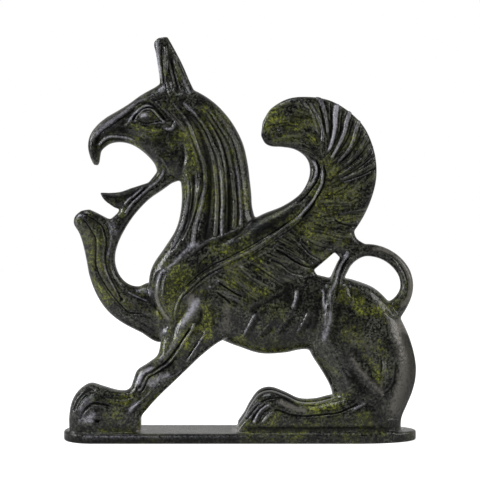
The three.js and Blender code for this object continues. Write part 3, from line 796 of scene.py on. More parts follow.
def carve_feathers(c):
    """Long feathers along the trailing edge and over the flank, parted by fine cuts painted black as shade."""
    cuts = [
        ([(336.7, 213.7), (348.5, 212.7), (363.4, 210.7)], 0.4),
        ([(333.7, 218.6), (343.6, 223.5), (357.4, 225.5)], 0.75),
        ([(309, 230.5), (323.8, 232.4), (338.7, 237.4), (352.5, 238.4)], 0.5),
        ([(307, 239.3), (318.9, 245.3), (334, 248.4)], 0.5),
        ([(299.1, 240.4), (309, 252.2), (319.9, 259.1)], 0.55),
        ([(274.4, 248.3), (284.3, 253.2), (294.2, 260.1), (304.1, 265.1), (315, 268)], 0.9),
        ([(269.5, 258.1), (280.4, 263.1), (292.2, 272), (304.1, 275)], 0.6),
        ([(248.7, 262.1), (258.6, 267.1), (269.5, 275), (278.4, 280.9)], 0.6),
        ([(240, 269.5), (252.7, 279.9), (266, 289)], 0.45), ([(229, 276), (241, 286), (254, 295.5)], 0.35),
        ([(216, 279.9), (226.6, 287.5), (236.1, 293.3), (242.8, 297.1)], 0.85),
        ([(216, 291.4), (222.7, 296.1), (231.3, 303.8)], 0.75), ([(322, 204), (334, 206), (350, 204)], 0.25),
        ([(284, 248.6), (297, 256), (308, 262.5)], 0.3),
    ]
    for line, deep in cuts:
        c.groove(deep, 0.85, line, 0.08, 0.06)
        c.stain(c.painted_shade, min(1.2 * deep, 1), 0.9, line, 0.1, 0.1)
        c.fold(0.45 * deep, 1.9, moved(line, 1.2, -3.4), 0.2, 0.1)
    # Three knobs with painted highlights, and painted sheen on two feathers.
    for x, y in ((218, 280.4), (209.8, 286.1), (241.4, 266)):
        c.swell(x, y, 1.8, 1.8, 0.3)
        c.stain(c.polish, 0.9, 1.1, [(x - 0.6, y), (x + 0.6, y)])
    c.ramp(0.55, 5, 1, [(240, 309), (252, 303), (263, 298), (274, 292), (285, 286.5), (296, 281), (309, 276)],
           0.2, 0.2)
    c.ridge(0.3, 1.2, 0.4, [(223, 290.6), (232, 296.4), (241, 301.4)])
    c.stains(c.bare, [
        (0.4, 2.2, [(272, 251.6), (288, 260), (305, 269.6)]),
        (0.4, 2.2, [(262, 262), (276, 270), (292, 277)]),
    ])


def carve_chest(c):
    chest = [(163.4, 269.6), (160.5, 273), (158.1, 278.9), (156.7, 286.6), (155.9, 295.2), (158.6, 304.8),
             (163.4, 312.4), (168.2, 318.6)]
    shoulder = [(191, 298), (194, 304.5), (190.2, 312.4), (184.4, 320.1), (180.6, 327.7), (177.8, 337.3),
                (173.9, 344), (168.2, 351.6)]
    each(c.groove, [(0.55, 1.2, moved(chest, -3.6, 0.8)), (0.35, 1, moved(chest, 3.6, 0.4))])
    each(c.fold, [
        (0.6, 2, chest, 0.05, 0.2), (0.95, (5.2, 2.4), shoulder, 0, 0.4),
        (-0.6, 3.2, [(200, 306), (200.5, 316), (196, 326)]),
        (-0.4, 3, [(211, 300), (213.5, 312), (213, 326)]), (0.45, 5, [(226, 302), (227, 314), (224, 328)]),
        (-0.35, 3.6, [(237, 306), (238, 320), (234, 334)]),
    ])
    # Painted highlights: a broad one on the shoulder and one down the chest, with painted sheen beside them.
    c.stains(c.polish, [
        (0.7, 1.7, chest[:4]), (1, (4.6, 2.4), [(196, 301), (193, 308), (187, 316.5), (182, 325)]),
        (0.5, 1.6, shoulder[4:]),
    ])
    c.stains(c.bare, [
        (0.8, 1.8, chest[3:]), (0.8, (6.5, 3), shoulder[:4]), (0.6, 4.5, [(226, 306), (225, 328)]),
    ])


def carve_flank(c):
    """Ribs, and the folds between them and the haunch."""
    ribs = [
        ([(256.2, 311.4), (251.4, 321), (246.6, 329.6), (242, 337.6)], 0.45, 0.9, 0.6),
        ([(269.6, 323), (263.9, 329.6), (257, 336.4)], 0.35, 1, 0.3),
        ([(288.8, 310.5), (285.9, 318.2), (281.1, 325.8), (275, 333)], 0.4, 1.1, 0.3),
        ([(308.6, 311), (305.4, 318.8), (301.5, 325.5), (295.6, 334.4)], 0.45, 0.9, 0.4),
        ([(296.6, 288.6), (296.4, 297.1), (294.4, 303), (292, 309)], 0.5, 1.2, 0.8),
    ]
    # Each rib has painted shade in the hollow beside it.
    for path, high, wide, shine in ribs:
        c.ridge(high, wide, shine, path, 0.15, 0.2)
        c.fold(-0.5, 2.6, moved(path, 4.5, 0.8))
        c.stain(c.painted_shade, 0.5, 2, moved(path, 4.2, 0.8))
    each(c.fold, [
        (0.5, 1.6, [(323, 289), (324.5, 296.2), (324.5, 303.9), (326, 311)], 0.15),
        (0.45, 3.4, [(326.5, 312), (327.5, 322), (326, 334), (326.5, 346)], 0.15),
        (-0.55, 3.2, [(316, 296), (317.5, 310), (315, 324), (311, 338)]),
        (-0.5, 4.2, [(338, 300), (338.5, 312), (337, 330), (338, 346)]),
    ])
    # Painted highlights on the hip, painted sheen over the haunch, and painted shade on the flank.
    c.stains(c.polish, [
        (0.7, 1.2, [(323, 290), (324.5, 297), (324.5, 304), (326, 310), (330.6, 321.5)]),
        (0.75, 2, [(330, 312), (330, 320), (327, 330), (323.6, 340)]),
        (0.4, 1.5, [(324.6, 314), (325.6, 324), (322.6, 334)]),
    ])
    c.stains(c.bare, [
        (0.35, 5, [(330, 310), (327, 330), (324, 346)]), (0.25, 11, [(326, 344), (334, 366), (342, 384)]),
    ])
    c.stain(c.painted_shade, 0.45, 8, [(284, 296), (300, 303), (314, 300)])


def carve_haunch(c):
    thigh = [(350.5, 352.2), (354, 359.1), (359.1, 367.8), (365.2, 374.7), (371.2, 381.6), (377.2, 387.6),
             (384, 394)]
    c.ramp(0.65, 17, -1, [(399.5, 318), (391.5, 325), (389.5, 336), (392, 350), (395.5, 364), (395, 380),
           (389.5, 396), (383, 416)], 0.1)
    each(c.ridge, [
        (0.25, 1.3, 0.15, [(331.8, 352), (338.6, 363), (345, 375), (348.6, 388)]),
        (0.25, 0.9, 0.25, [(344.4, 368.6), (352.6, 377)]),
        (0.2, 0.9, 0.1, [(385.9, 421.2), (393, 420.6), (400.7, 420.3)]),
        (0.35, 0.9, 0.2, [(354, 300), (351.6, 305.4)]),
    ])
    each(c.groove, [
        (0.6, 1.1, [(381.4, 355), (382.4, 365), (381.6, 375)]),
        (0.6, 1.2, [(396.4, 360), (396.2, 371.2), (394.5, 382.4), (390.2, 390.2), (383, 395.6)]),
        (0.5, 1.2, [(313.4, 352.2), (319.5, 360), (324.7, 369.5), (329, 376.4), (333, 386)]),
        (0.3, 1, [(374.4, 317.6), (368, 324)]),
    ])
    each(c.fold, [
        (0.55, 3.4, thigh, 0.15), (-0.8, 4.4, [(350, 368), (356, 379), (365, 389.5)]),
        (-0.35, 3.4, [(365, 352), (371, 363), (377, 374)]),
        (0.4, 1.6, [(384.1, 360), (385.4, 368), (387, 376)]),
        (-0.3, 2.6, [(390, 350), (391.5, 364), (391, 378), (386.5, 388)]),
    ])
    # A painted highlight on the thigh, painted sheen on the thigh and the haunch's right edge, and painted
    # shade below.
    c.stain(c.polish, 0.4, 1.2, [(384.1, 363.4), (386.7, 374.7)])
    c.stains(c.bare, [
        (0.6, 2.6, thigh), (0.25, 12, [(350, 334), (372, 344)]), (1, 8, [(398, 326), (403, 338)]),
        (1, 8, [(406, 352), (407, 372), (403, 392), (397, 410)]),
    ])
    c.stains(c.painted_shade, [(0.35, 7, [(252, 342), (276, 344), (300, 341)]), (0.6, 5, [(353, 379), (362, 391)])])


def carve_tail(c):
    strand = [(349.7, 250.6), (345.1, 258), (341.3, 264.1), (338.3, 271), (336.7, 278.6), (334.4, 284.7),
              (330.6, 291.4), (330, 298), (331, 307.7), (331.4, 316)]
    ring = [(372, 249), (382.6, 250.9), (394, 257.4), (402, 266.6), (406.4, 276), (408.2, 285.6),
            (405.8, 296.6), (399.6, 305.6)]
    each(c.ridge, [
        (0.6, 1.2, 0.75, strand, 0.06, 0.3), (0.45, 0.9, 0.7, [(339.2, 251.4), (342.8, 255.9), (348.6, 250)]),
        (0.35, 1.1, 0.2, [(394.6, 262.6), (400.2, 269), (403.6, 278.4), (404, 288), (400.6, 297.2),
         (394.4, 302.6)]),
    ])
    each(c.groove, [
        (0.7, 1, [(350, 254.5), (343.6, 264), (341.2, 272), (339.4, 281), (337.4, 289), (336.4, 298)]),
        (0.35, 0.9, [(349, 281), (349.6, 290), (352, 297)]), (0.5, 1.1, ring, 0.15, 0.15),
        (0.4, 1.2, [(386, 309), (391, 315), (399, 318.5)]),
    ])
    c.fold(0.4, 1.7, [(345.9, 279), (345.6, 288.6), (348.4, 298)])
    # A painted highlight and painted sheen on the ring.
    c.stain(c.polish, 0.6, 1.2, [(403.6, 282.6), (403.8, 289)])
    c.stain(c.bare, 0.9, 2.4, moved(ring, 3, -1))


def carve_planted_leg(c):
    first = [(190.4, 327), (186.4, 333.6), (181.5, 340.9), (174.6, 350.8), (166.7, 360.6), (158.8, 366.6),
             (150.9, 371.5), (145, 374.5), (142, 379.4), (139, 386.3), (135.1, 391.3)]
    each(c.ridge, [
        (0.35, 0.7, 0.5, moved(first, 2.4, 1.4), 0.05),
        (0.4, 0.9, 0.55, [(194, 322), (192.1, 328.7), (186.4, 336.3), (178.7, 346.9)]),
        (0.5, 1, 0.5, [(207.6, 328), (201.3, 338.9), (194.4, 349.8), (188.5, 358.7), (186, 362.6)]),
        (0.45, 1, 0.35, [(181.6, 367.4), (176.6, 373.5), (168.7, 378.4), (161.8, 382.4), (152, 390),
         (142, 400), (131, 410.5)]),
        (0.35, 1.1, 0.4, [(143.4, 398.6), (137.1, 404.1), (130, 411.4)]),
    ])
    each(c.groove, [
        (0.9, 0.95, first, 0.05), (0.7, 0.95, moved(first[3:], 4.2, 2.4)),
        (0.5, 0.9, [(204.6, 332.6), (199, 341), (192.4, 350), (186.4, 358.5)]),
        (0.4, 1, [(141, 396), (133, 404.5), (124, 409), (118, 411.5)]),
    ])
    each(c.fold, [
        (0.4, 3.2, [(160, 343), (164.7, 352.7), (160, 358.8), (150, 366), (142, 371), (138, 381)]),
        (-0.45, 2.8, [(176, 362), (168, 371)]),
    ])
    # Painted highlights on the upper arm and forearm, and painted shade in the first cut.
    c.stains(c.polish, [
        (0.45, 2.6, [(178.6, 335.9), (170.7, 347.8), (164.7, 355.7), (158.8, 360.6)]),
        (0.95, (3.2, 2.2), [(138.6, 382), (141, 374.5), (152, 368)]),
        (0.8, (4.2, 2.4), [(151, 384), (160, 377.5), (168, 375)]),
    ])
    c.stain(c.painted_shade, 1, 1.2, first, 0.05, 0.1)


def carve_paw(c):
    """An outer rim, two toes, a pad and a pit."""
    each(c.ridge, [
        (0.4, 1.3, 0.6, [(78.6, 411), (79.8, 408.4), (82.7, 403.1), (88.7, 397.6), (96.4, 395.2)], 0.12, 0.3),
        (0.25, 0.8, 0.2, [(82.6, 420), (84.4, 413.8), (88.4, 409.4), (94, 406.8), (100, 406.6),
         (106, 408.4)]),
    ])
    each(c.groove, [
        (0.7, 0.9, [(72.6, 412), (74.8, 405.1), (78.4, 399), (82.7, 394.2), (88.7, 390.3), (94, 390)]),
        (0.95, 1, [(79.4, 420), (79.8, 417.4), (81.7, 412), (85.7, 408.1), (91.6, 404.1), (99.5, 404.1),
         (107.5, 406.4), (116, 409.4)], 0.05, 0.2),
        (0.3, 0.9, [(103, 396.6), (113, 398.6), (124, 399), (133, 396.5)]),
    ])
    c.fold(-0.35, 2.4, [(100, 397.5), (112, 398), (124, 397.6), (132, 396)])
    each(c.swell, [(87.5, 420, 5.5, 4.2, 0.5, 20), (96, 422, 3.6, 2.2, -1.2)])
    # Painted highlights on the toes and pad, and painted shade in the pit.
    c.stains(c.polish, [
        (0.5, 2.4, [(79.4, 422), (82, 408), (91, 399)]), (0.8, 3.8, [(85, 420.6), (90.6, 416)]),
        (1, 1.6, [(88.4, 422.2), (91, 421.6)]), (0.9, 2, [(129, 411), (136, 403)]),
    ])
    c.stain(c.painted_shade, 1, 1.9, [(93.6, 422.4), (98.6, 421.6)])


def carve_hind_foot(c):
    """Long lines run from the hock to the toes."""
    vane = [(281, 401.6), (291.3, 407.2), (304.6, 411.2)]
    toes = [
        ([(245.6, 418), (249.5, 412.9), (255.6, 405.7), (262, 402)], 0.35, 0.5),
        ([(248.8, 420), (253.6, 413.9), (258.7, 407.8), (264.4, 403.6)], 0.4, 0.55),
        ([(254, 424), (256.6, 416.9), (260.7, 410.8), (265.8, 406.7), (270, 404.8)], 0.55, 0.95),
        ([(262.6, 423.4), (265.8, 419), (269.9, 414.9), (272.6, 412.4)], 0.5, 0.6),
    ]
    for path, high, shine in toes:
        c.ridge(high, 0.95, shine, path, 0.05, 0.1)
    # Two painted highlights on the toes.
    for x, y in ((278.6, 403.2), (328, 397.6)):
        c.stain(c.polish, 0.9, 1.1, [(x - 0.8, y), (x + 0.8, y)])
    c.ridge(0.3, 0.9, 0.5, [(352, 411.4), (359, 407.6), (365.4, 403.4), (366, 401)])
    each(c.groove, [
        (0.8, 0.95, [(245.6, 421), (248.5, 416), (255.6, 406.8), (262.8, 401.2), (270.9, 398.4),
         (280.1, 397.6), (288.3, 400.6), (296.4, 405.7), (303, 408.8)], 0.05),
        (0.85, 0.95, [(271.9, 410.8), (279.1, 410.8), (286.2, 413.9), (294.4, 415.9), (304.6, 416.9),
         (316.8, 415.9), (327, 414.9), (337.2, 413.9), (347.4, 409.8), (355.6, 405.7), (362.6, 401)], 0.06),
        (0.55, 0.9, [(305, 406), (316.8, 405.7), (325, 403.7), (333.2, 400.6), (346.4, 398.4)]),
        (0.55, 0.7, [(251.6, 421.6), (255.2, 415), (260, 408.8), (266, 404.6)]),
        (0.6, 0.8, [(258.7, 423.4), (261.7, 416.4), (265.8, 411), (271, 408)]),
        (0.3, 0.9, [(246, 427), (300, 427.6), (350, 427.4), (398, 426.4)]),
    ])
    each(c.fold, [(0.4, 2.8, vane), (0.2, 2.6, [(257, 394), (264, 391), (272, 391), (281, 394), (291, 399)])])
    # Painted sheen on the vane, and painted shade along the hock.
    c.stain(c.bare, 0.9, 2.6, vane)
    c.stain(c.painted_shade, 0.5, 2.4, [(262, 391.5), (276, 393), (292, 399), (330, 399)])


def carve_raised_leg(c):
    outer = [(80.4, 213.7), (90.6, 229), (95.2, 238.2), (95.7, 251.4), (95.2, 261.6), (98.8, 273.9),
             (105.9, 286.1), (113.1, 296.3), (120.2, 304.5), (125.3, 309.6), (131.4, 312.7), (141.6, 313.7),
             (152.8, 318)]
    inner = [(84.5, 213.4), (94.7, 218.8), (101.8, 224.9), (104.9, 233.1), (106.4, 241.2), (104.9, 251.4),
             (105.4, 261.6), (108, 271.8), (113.1, 282), (117.1, 290.2), (120.2, 297.3), (121.6, 301.4)]
    each(c.ridge, [
        (0.35, 1.2, 0.55, [(108, 219), (111, 231), (111, 241.2), (109, 249.4), (107.4, 259)]),
        (0.4, 1.3, 0.4, [(84.6, 217.4), (80.4, 215.4), (77.4, 219), (78.2, 225)]),
        (0.35, 0.9, 0.55, [(127.4, 291.4), (137.6, 296.3), (147.6, 300.8)]),
    ])
    each(c.groove, [
        (0.65, 1, outer, 0.06), (0.75, 1, inner, 0.06), (0.3, 0.9, [(104, 222), (108.4, 229), (112, 240)]),
        (0.5, 0.9, [(117.4, 293), (124, 291.6), (132, 294.6), (141.6, 299.6), (149.4, 302.6)]),
        (0.3, 1.2, [(122, 308), (132, 317), (145, 324), (156, 331)]),
    ])
    c.fold(0.4, 2.3, [(92, 222), (98, 230), (100.4, 240), (100.6, 252), (100.4, 263), (104, 275),
           (110.6, 287), (117, 297)])
    each(c.swell, [(111, 229, 6, 6, 0.3), (121.6, 299, 2.6, 3.4, -0.7), (164, 331, 4.5, 4.5, 0.35)])
    # Painted highlights and a broad painted sheen along the leg.
    c.stains(c.polish, [
        (0.3, 2, [(104, 234), (103, 252), (106, 272), (116, 290)]), (0.5, 2.6, [(112, 222), (115.6, 232)]),
        (0.9, 1.4, [(78.6, 215), (80.4, 214.4)]), (0.5, 2.2, [(141, 290), (151, 291.4)]),
        (0.7, 2.4, [(163, 331), (165.4, 330.6)]),
    ])
    c.stain(c.bare, 0.3, 7, [(88, 226), (99, 262), (112, 288), (136, 304), (156, 316)])


def grow_moss(c):
    """Where the green lies thickest: how thick, how wide, and along which line."""
    c.stains(c.moss, [
        (1, 2.2, [(131, 125), (148, 129.2), (162, 129.4)]), (0.5, 3, [(132, 108), (142, 105.6)]),
        (0.4, 5, [(155, 112), (166, 126)]), (0.4, 8, [(150, 134), (170, 142)]),
        (0.45, 7, [(190, 98), (212, 112)]), (1, 7, [(190, 139), (192, 152), (194, 166)]),
        (0.5, 7, [(208, 163), (212.5, 194)]), (0.35, 5, [(229, 141), (232, 162)]),
        (0.6, 4.5, [(243, 148), (246, 170), (246, 205)]), (0.7, 3, [(163, 58), (164, 74)]),
        (0.5, 2.5, [(176, 66), (180, 78)]), (0.7, 3, [(121, 210), (122, 214)]),
        (1, 12, [(272, 118), (296, 126)]), (1, 7, [(268, 131), (274, 137)]), (1, 7, [(284, 137), (312, 139)]),
        (0.55, 9, [(300, 112), (318, 122)]), (0.6, 3, [(330, 125), (330, 131)]),
        (0.45, 9, [(322, 196), (342, 196)]), (0.6, 6, [(318, 207), (336, 208)]),
        (0.9, 4, [(340, 219), (358, 217)]), (0.8, 6, [(309, 232), (318, 243)]),
        (0.9, 6, [(326, 235), (338, 239)]), (0.9, 4.5, [(316, 252), (330, 256)]),
        (0.7, 4, [(304, 262), (312, 268)]), (0.5, 5, [(306, 222), (312, 226)]),
        (1, 6, [(229, 265), (232, 281)]), (0.8, 5, [(244, 254), (262, 260)]),
        (0.8, 6, [(258, 268), (270, 275)]), (0.8, 5, [(256, 288), (266, 291)]),
        (0.5, 8, [(240, 270), (250, 285)]), (0.3, 9, [(176, 272), (173, 285), (174, 303)]),
        (0.9, 4, [(79, 219), (82, 226)]), (0.6, 7, [(95, 230), (99, 258), (106, 280), (122, 300)]),
        (0.45, 12, [(196, 140), (214, 168), (222, 190)]), (1, 4.5, [(296, 401), (320, 402), (340, 397)]),
        (0.5, 6, [(104, 412), (122, 420)]),
        (0.9, 4.5, [(86, 232), (91, 250), (92, 270), (98, 286), (108, 299)]),
        (0.8, 4.5, [(125, 306), (145, 309), (163, 315)]), (0.9, 5, [(209, 314), (209, 336)]),
        (0.9, 5, [(183, 338), (191, 348)]), (0.4, 5, [(200, 303), (206, 310)]),
        (0.9, 3, [(236, 339), (243, 336)]), (0.5, 3.5, [(248, 348), (280, 351), (305, 348)]),
        (0.3, 8, [(278, 315), (300, 320)]), (0.4, 7, [(343, 296), (346, 320)]),
        (0.9, 6.5, [(358, 303), (362, 309)]), (0.9, 5.5, [(366, 311), (380, 309)]),
        (0.5, 4, [(353, 319), (355, 326)]), (0.9, 4, [(361, 341), (363, 349)]),
        (0.75, 4.5, [(367, 355), (376, 370), (382, 386)]), (0.4, 3.5, [(389, 353), (392, 358)]),
        (1, 5, [(337, 396), (352, 395)]), (1, 6, [(308, 406), (338, 405)]),
        (0.7, 4, [(90, 398), (110, 401), (130, 398)]), (0.5, 3, [(335, 364), (338, 378)]),
        (0.75, 9, [(345, 335), (374, 347)]),
    ])


def plinth_wear_and_light(c):
    """The top between the legs carries a painted reflection, and the front edge a painted highlight at the
    left. Painted shade darkens the side, the front edge of the top and the lines along the feet. Moss gathers
    near the front paw.
    """
    c.stain(c.polish, 0.6, 1.2, [(82, 437.5), (94, 437.5)])
    c.stains(c.bare, [(1, 4, [(140, 431), (238, 431)]), (0.5, 3, [(404, 430), (414, 432)])])
    c.stains(c.moss, [(0.5, 2.5, [(96, 437), (126, 437)]), (0.7, 3, [(100, 431), (128, 431)])])
    c.stains(c.painted_shade, [
        (1, 6, [(62, 440), (250, 440)]), (0.85, 5, [(250, 440), (326, 440)]),
        (0.4, 4, [(326, 440), (416, 440)]), (0.25, 1.6, [(140, 433.6), (238, 433.6)]),
        (0.75, 3, [(64, 433.4), (80, 433)]), (0.65, 3.4, [(76, 430), (134, 430)]),
        (0.9, 3.4, [(248, 429.5), (325, 429.5), (398, 428.5)]),
        (0.35, 6, [(310, 424), (350, 420), (394, 416)]),
    ])


def carving_at(points):
    c = Carving(points)
    for part in (carve_mane, carve_beak, carve_eye, carve_cheek, carve_jaw, carve_ear, carve_band, carve_curl,
                 carve_feathers, carve_chest, carve_flank, carve_haunch, carve_tail, carve_planted_leg,
                 carve_paw, carve_hind_foot, carve_raised_leg, grow_moss):
        part(c)
    above = smooth_step(PLINTH_THICKNESS, PLINTH_THICKNESS + 1 * MM, points[:, 2])
    c.height = np.clip(c.height, -MOST_RELIEF, MOST_RELIEF) * above
    # Painted shade: hollows and cuts are painted darker the deeper they are cut; the plinth gets none here.
    c.painted_shade = np.maximum(c.painted_shade, 0.8 * smooth_step(0.12, 0.7, -c.height)) * above
    plinth_wear_and_light(c)
    return c


def carved(mesh):
    """Carves the skin. The back is carved less deeply."""
    points = read_points(mesh)
    normals = normals_of(mesh)
    facing = smooth_step(0.18, 0.55, np.abs(normals[:, 1]))
    plainer = 1 - 0.4 * smooth_step(-1 * MM, 1 * MM, points[:, 1])
    relief = carving_at(points).height * facing * plainer * MM
    write_points(mesh, points + normals * relief[:, None])


def fields_with_painted_light(mesh):
    """Keeps the four fields on the skin for its material: painted highlight, moss, metal showing through with
    painted sheen, and painted shade.
    """
    c = carving_at(read_points(mesh))
    finish_and_light = mesh.attributes.new("finish_and_light", "FLOAT_COLOR", "POINT")
    fields = np.stack([c.polish, c.moss, c.bare, c.painted_shade], 1).astype(np.float32)
    finish_and_light.data.foreach_set("color", fields.ravel())
    grain = mesh.attributes.new("grain", "FLOAT_VECTOR", "POINT")
    grain.data.foreach_set("vector", c.feather_lines().astype(np.float32).ravel())


def griffin_skin():
    shells = Shells()
    neck_and_head(shells)
    trunk_and_haunch(shells)
    hind_foot(shells, -1)
    hind_foot(shells, 1)
    for limbs in (planted_leg, raised_leg, tail, wing, wing_corner, plinth):
        limbs(shells)
    obj = fused(shells)
    rounded(obj.data)
    carved(obj.data)
    thinned = obj.modifiers.new("thin", "DECIMATE")
    thinned.ratio = min(1.0, MOST_TRIANGLES / (2 * len(obj.data.polygons)))
    apply_modifiers(obj)
    fields_with_painted_light(obj.data)
    obj.data.shade_smooth()
    return obj


# Patina, with painted highlights and painted shade

def node(tree, kind, sockets=(), **values):
    """A new node. A socket takes a number, a colour, or another node's output."""
    made = tree.nodes.new(kind)
    for key, value in values.items():
        setattr(made, key, value)
    for key, value in dict(sockets).items():
        if isinstance(value, bpy.types.NodeSocket):
            tree.links.new(value, made.inputs[key])
        else:
            made.inputs[key].default_value = value
    return made


def map_range(tree, source, low, high, bottom=0.0, top=1.0):
    made = node(tree, "ShaderNodeMapRange", {
        "Value": source, "From Min": low, "From Max": high, "To Min": bottom, "To Max": top})
    return made.outputs["Result"]


def patina_and_painted_light():
    mat = bpy.data.materials.new("patinated_bronze")
    mat.use_nodes = True
    tree = mat.node_tree
    tree.nodes.clear()
    place = node(tree, "ShaderNodeTexCoord").outputs["Object"]
    finish_and_light = node(tree, "ShaderNodeAttribute", attribute_name="finish_and_light")
    fields = node(tree, "ShaderNodeSeparateColor", {"Color": finish_and_light.outputs["Color"]})
    polish, mossy, bare = fields.outputs[:3]
    painted_shade = finish_and_light.outputs["Alpha"]

    def noise(scale, rough=0.75, detail=4, vector=place):
        return node(tree, "ShaderNodeTexNoise", {
            "Vector": vector, "Scale": scale, "Detail": detail, "Roughness": rough}).outputs["Fac"]

    def span(source, *limits):
        return map_range(tree, source, *limits)

    def sum_of(operation, a, b, c=0.0):
        return node(tree, "ShaderNodeMath", {0: a, 1: b, 2: c}, operation=operation).outputs[0]

    def mix(fac, a, b):
        colours = {6: a if not isinstance(a, tuple) else (*a, 1), 7: (*b, 1)}
        return node(tree, "ShaderNodeMix", {0: fac, **colours}, data_type="RGBA").outputs[2]

    black = (0.003, 0.0032, 0.003)
    slate = (0.1, 0.104, 0.08)
    dull = (0.07, 0.078, 0.026)
    olive = (0.23, 0.25, 0.032)
    # Metal showing through the patina, also used as a painted sheen and reflection.
    taupe = (0.12, 0.113, 0.098)
    # The colour of the painted highlights.
    highlight_lilac = (0.37, 0.365, 0.415)
    bright = (0.12, 0.125, 0.08)
    # Slate flecks in black, in clouds.
    cloud = span(noise(150), 0.4, 0.6, 0.2, 1.0)
    base = mix(sum_of("MULTIPLY", cloud, span(noise(1100, 0.6, 3), 0.44, 0.66)), black, slate)
    # Growth, dull at first and olive where it is thickest, then metal showing through, which also serves as a
    # painted sheen.
    growth = span(sum_of("MULTIPLY_ADD", mossy, 0.22, noise(62, 0.7)), 0.52, 0.74)
    base = mix(sum_of("MULTIPLY", growth, span(noise(420), 0.4, 0.6, 0.1, 0.7)), base, dull)
    base = mix(sum_of("MULTIPLY", growth, span(noise(950, 0.8, 3), 0.5, 0.62)), base, olive)
    wear_and_sheen = span(sum_of("MULTIPLY_ADD", bare, 0.24, noise(750)), 0.48, 0.7)
    base = mix(sum_of("MULTIPLY", span(bare, 0.0, 0.65, 0.0, 0.92), wear_and_sheen), base, taupe)
    # Streaks along the feathers.
    lines = node(tree, "ShaderNodeAttribute", attribute_name="grain").outputs["Vector"]
    feathered = node(tree, "ShaderNodeSeparateXYZ", {0: lines}).outputs[2]
    drawn = node(tree, "ShaderNodeMapping", {"Vector": lines, "Scale": (0.42, 0.05, 0)}).outputs[0]
    streaks = noise(1, 0.6, 3, drawn)
    base = mix(sum_of("MULTIPLY", feathered, span(streaks, 0.52, 0.66, 0.0, 0.6)), base, bright)
    base = mix(sum_of("MULTIPLY", feathered, span(streaks, 0.48, 0.36, 0.0, 0.7)), base, black)
    # Painted shade in the hollows and cuts, and painted highlights of a cool violet grey on ridges and spots,
    # partly real wear.
    base = mix(span(painted_shade, 0.0, 1.0, 0.0, 0.92), base, black)
    grit = noise(1000, 0.8)
    # Painted highlights: the marked ridges and spots turn a pale violet grey, broken up by fine grain.
    rubbed_and_highlit = span(sum_of("MULTIPLY_ADD", polish, 0.22, grit), 0.48, 0.74)
    base = mix(sum_of("MULTIPLY", span(polish, 0.0, 1.0, 0.0, 0.92), rubbed_and_highlit), base, highlight_lilac)
    # Painted shade also turns rougher and metallic over the black, which takes the reflections out of it.
    shade_less_highlight = sum_of("SUBTRACT", painted_shade, polish)
    coarse = span(shade_less_highlight, 0.0, 1.0, 0.0, 0.2)
    rough = sum_of("ADD", coarse, span(grit, 0.38, 0.66, 0.17, 0.34))
    pits = noise(900, 0.5, 1.5)
    fine = node(tree, "ShaderNodeBump", {"Strength": 1.0, "Distance": 0.14 * MM, "Height": pits})
    shader = node(tree, "ShaderNodeBsdfPrincipled", {
        "Base Color": base, "Metallic": span(shade_less_highlight, 0.0, 1.0, 0.0, 0.7), "IOR": 1.36, "Roughness": rough,
        "Normal": fine.outputs["Normal"]})
    node(tree, "ShaderNodeOutputMaterial", {"Surface": shader.outputs["BSDF"]})
    return mat


# Studio

def camera():
    data = bpy.data.cameras.new("camera")
    data.sensor_width = 36
    data.lens = data.sensor_width * VIEW_DISTANCE / VIEW_WIDTH
    data.clip_end = 20
    obj = placed("camera", data)
    aim = Vector((0, 0, VIEW_AIM))
    back = Vector((0, -math.cos(VIEW_TILT), math.sin(VIEW_TILT)))
    obj.location = aim + back * VIEW_DISTANCE
    obj.rotation_euler = (-back).to_track_quat("-Z", "Y").to_euler()
    bpy.context.scene.camera = obj


def area(name, place, size, power, color):
    """A soft light aimed at the statue's middle."""
    data = bpy.data.lights.new(name, "AREA")
    data.shape = "RECTANGLE"
    data.size, data.size_y = size
    data.energy = power
    data.color = color
    obj = placed(name, data)
    obj.location = place
    obj.rotation_euler = (Vector((0, 0, 80 * MM)) - Vector(place)).to_track_quat("-Z", "Y").to_euler()


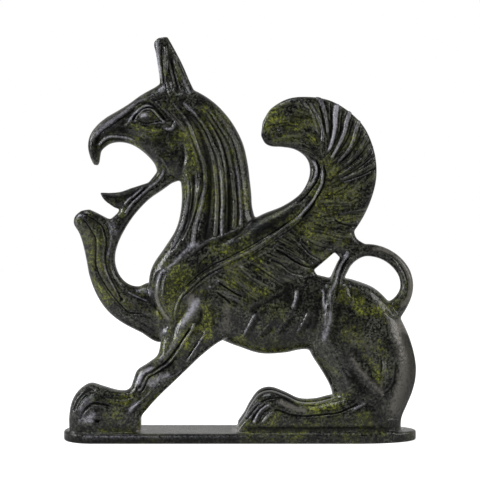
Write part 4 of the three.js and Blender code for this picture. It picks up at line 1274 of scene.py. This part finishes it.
def room():
    """A backdrop that the camera sees as white. For the light it is bright behind and dim in front."""
    world = bpy.data.worlds.new("studio")
    bpy.context.scene.world = world
    world.use_nodes = True
    tree = world.node_tree
    direction = node(tree, "ShaderNodeTexCoord").outputs["Generated"]
    split = node(tree, "ShaderNodeSeparateXYZ", {0: direction})
    shade = map_range(tree, split.outputs["Y"], -0.2, 0.6, 0.03, 0.7)
    seen = node(tree, "ShaderNodeLightPath").outputs["Is Camera Ray"]
    strength = node(tree, "ShaderNodeMath", {0: seen, 1: shade}, operation="MAXIMUM").outputs[0]
    background = tree.nodes["Background"]
    background.inputs["Color"].default_value = (1, 1, 1, 1)
    tree.links.new(strength, background.inputs["Strength"])


def floor():
    """It glows dimly, and the camera sees it as white as the backdrop."""
    side, front, back = 0.6, -0.22, 0.9
    mesh = bpy.data.meshes.new("floor")
    corners = [(-side, front, 0), (side, front, 0), (side, back, 0), (-side, back, 0)]
    mesh.from_pydata(corners, [], [(0, 1, 2, 3)])
    mat = bpy.data.materials.new("floor")
    mat.use_nodes = True
    tree = mat.node_tree
    seen = node(tree, "ShaderNodeLightPath").outputs["Is Camera Ray"]
    glow = node(tree, "ShaderNodeMath", {0: seen, 1: 0.45, 2: 0.4}, operation="MULTIPLY_ADD").outputs[0]
    shader = tree.nodes["Principled BSDF"]
    shader.inputs["Base Color"].default_value = (0.5, 0.5, 0.5, 1)
    shader.inputs["Roughness"].default_value = 0.9
    shader.inputs["Emission Color"].default_value = (1, 1, 1, 1)
    tree.links.new(glow, shader.inputs["Emission Strength"])
    mesh.materials.append(mat)
    placed("floor", mesh)


def studio():
    """A white room, a pale floor, and soft lights above and to the sides."""
    room()
    area("top", (-0.15, -0.25, 0.75), (0.35, 0.2), 2.3, (0.93, 0.95, 1))
    area("left", (-0.75, -0.22, 0.3), (0.16, 0.5), 6.4, (0.97, 0.98, 1))
    area("right", (0.7, -0.30, 0.35), (0.3, 0.5), 3.7, (1, 0.98, 0.95))
    floor()
    bpy.context.scene.view_settings.view_transform = "Standard"


statue = griffin_skin()
statue.name = "griffin"
statue.data.materials.append(patina_and_painted_light())
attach(statue, "root")
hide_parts("griffin_statue")
camera()
studio()
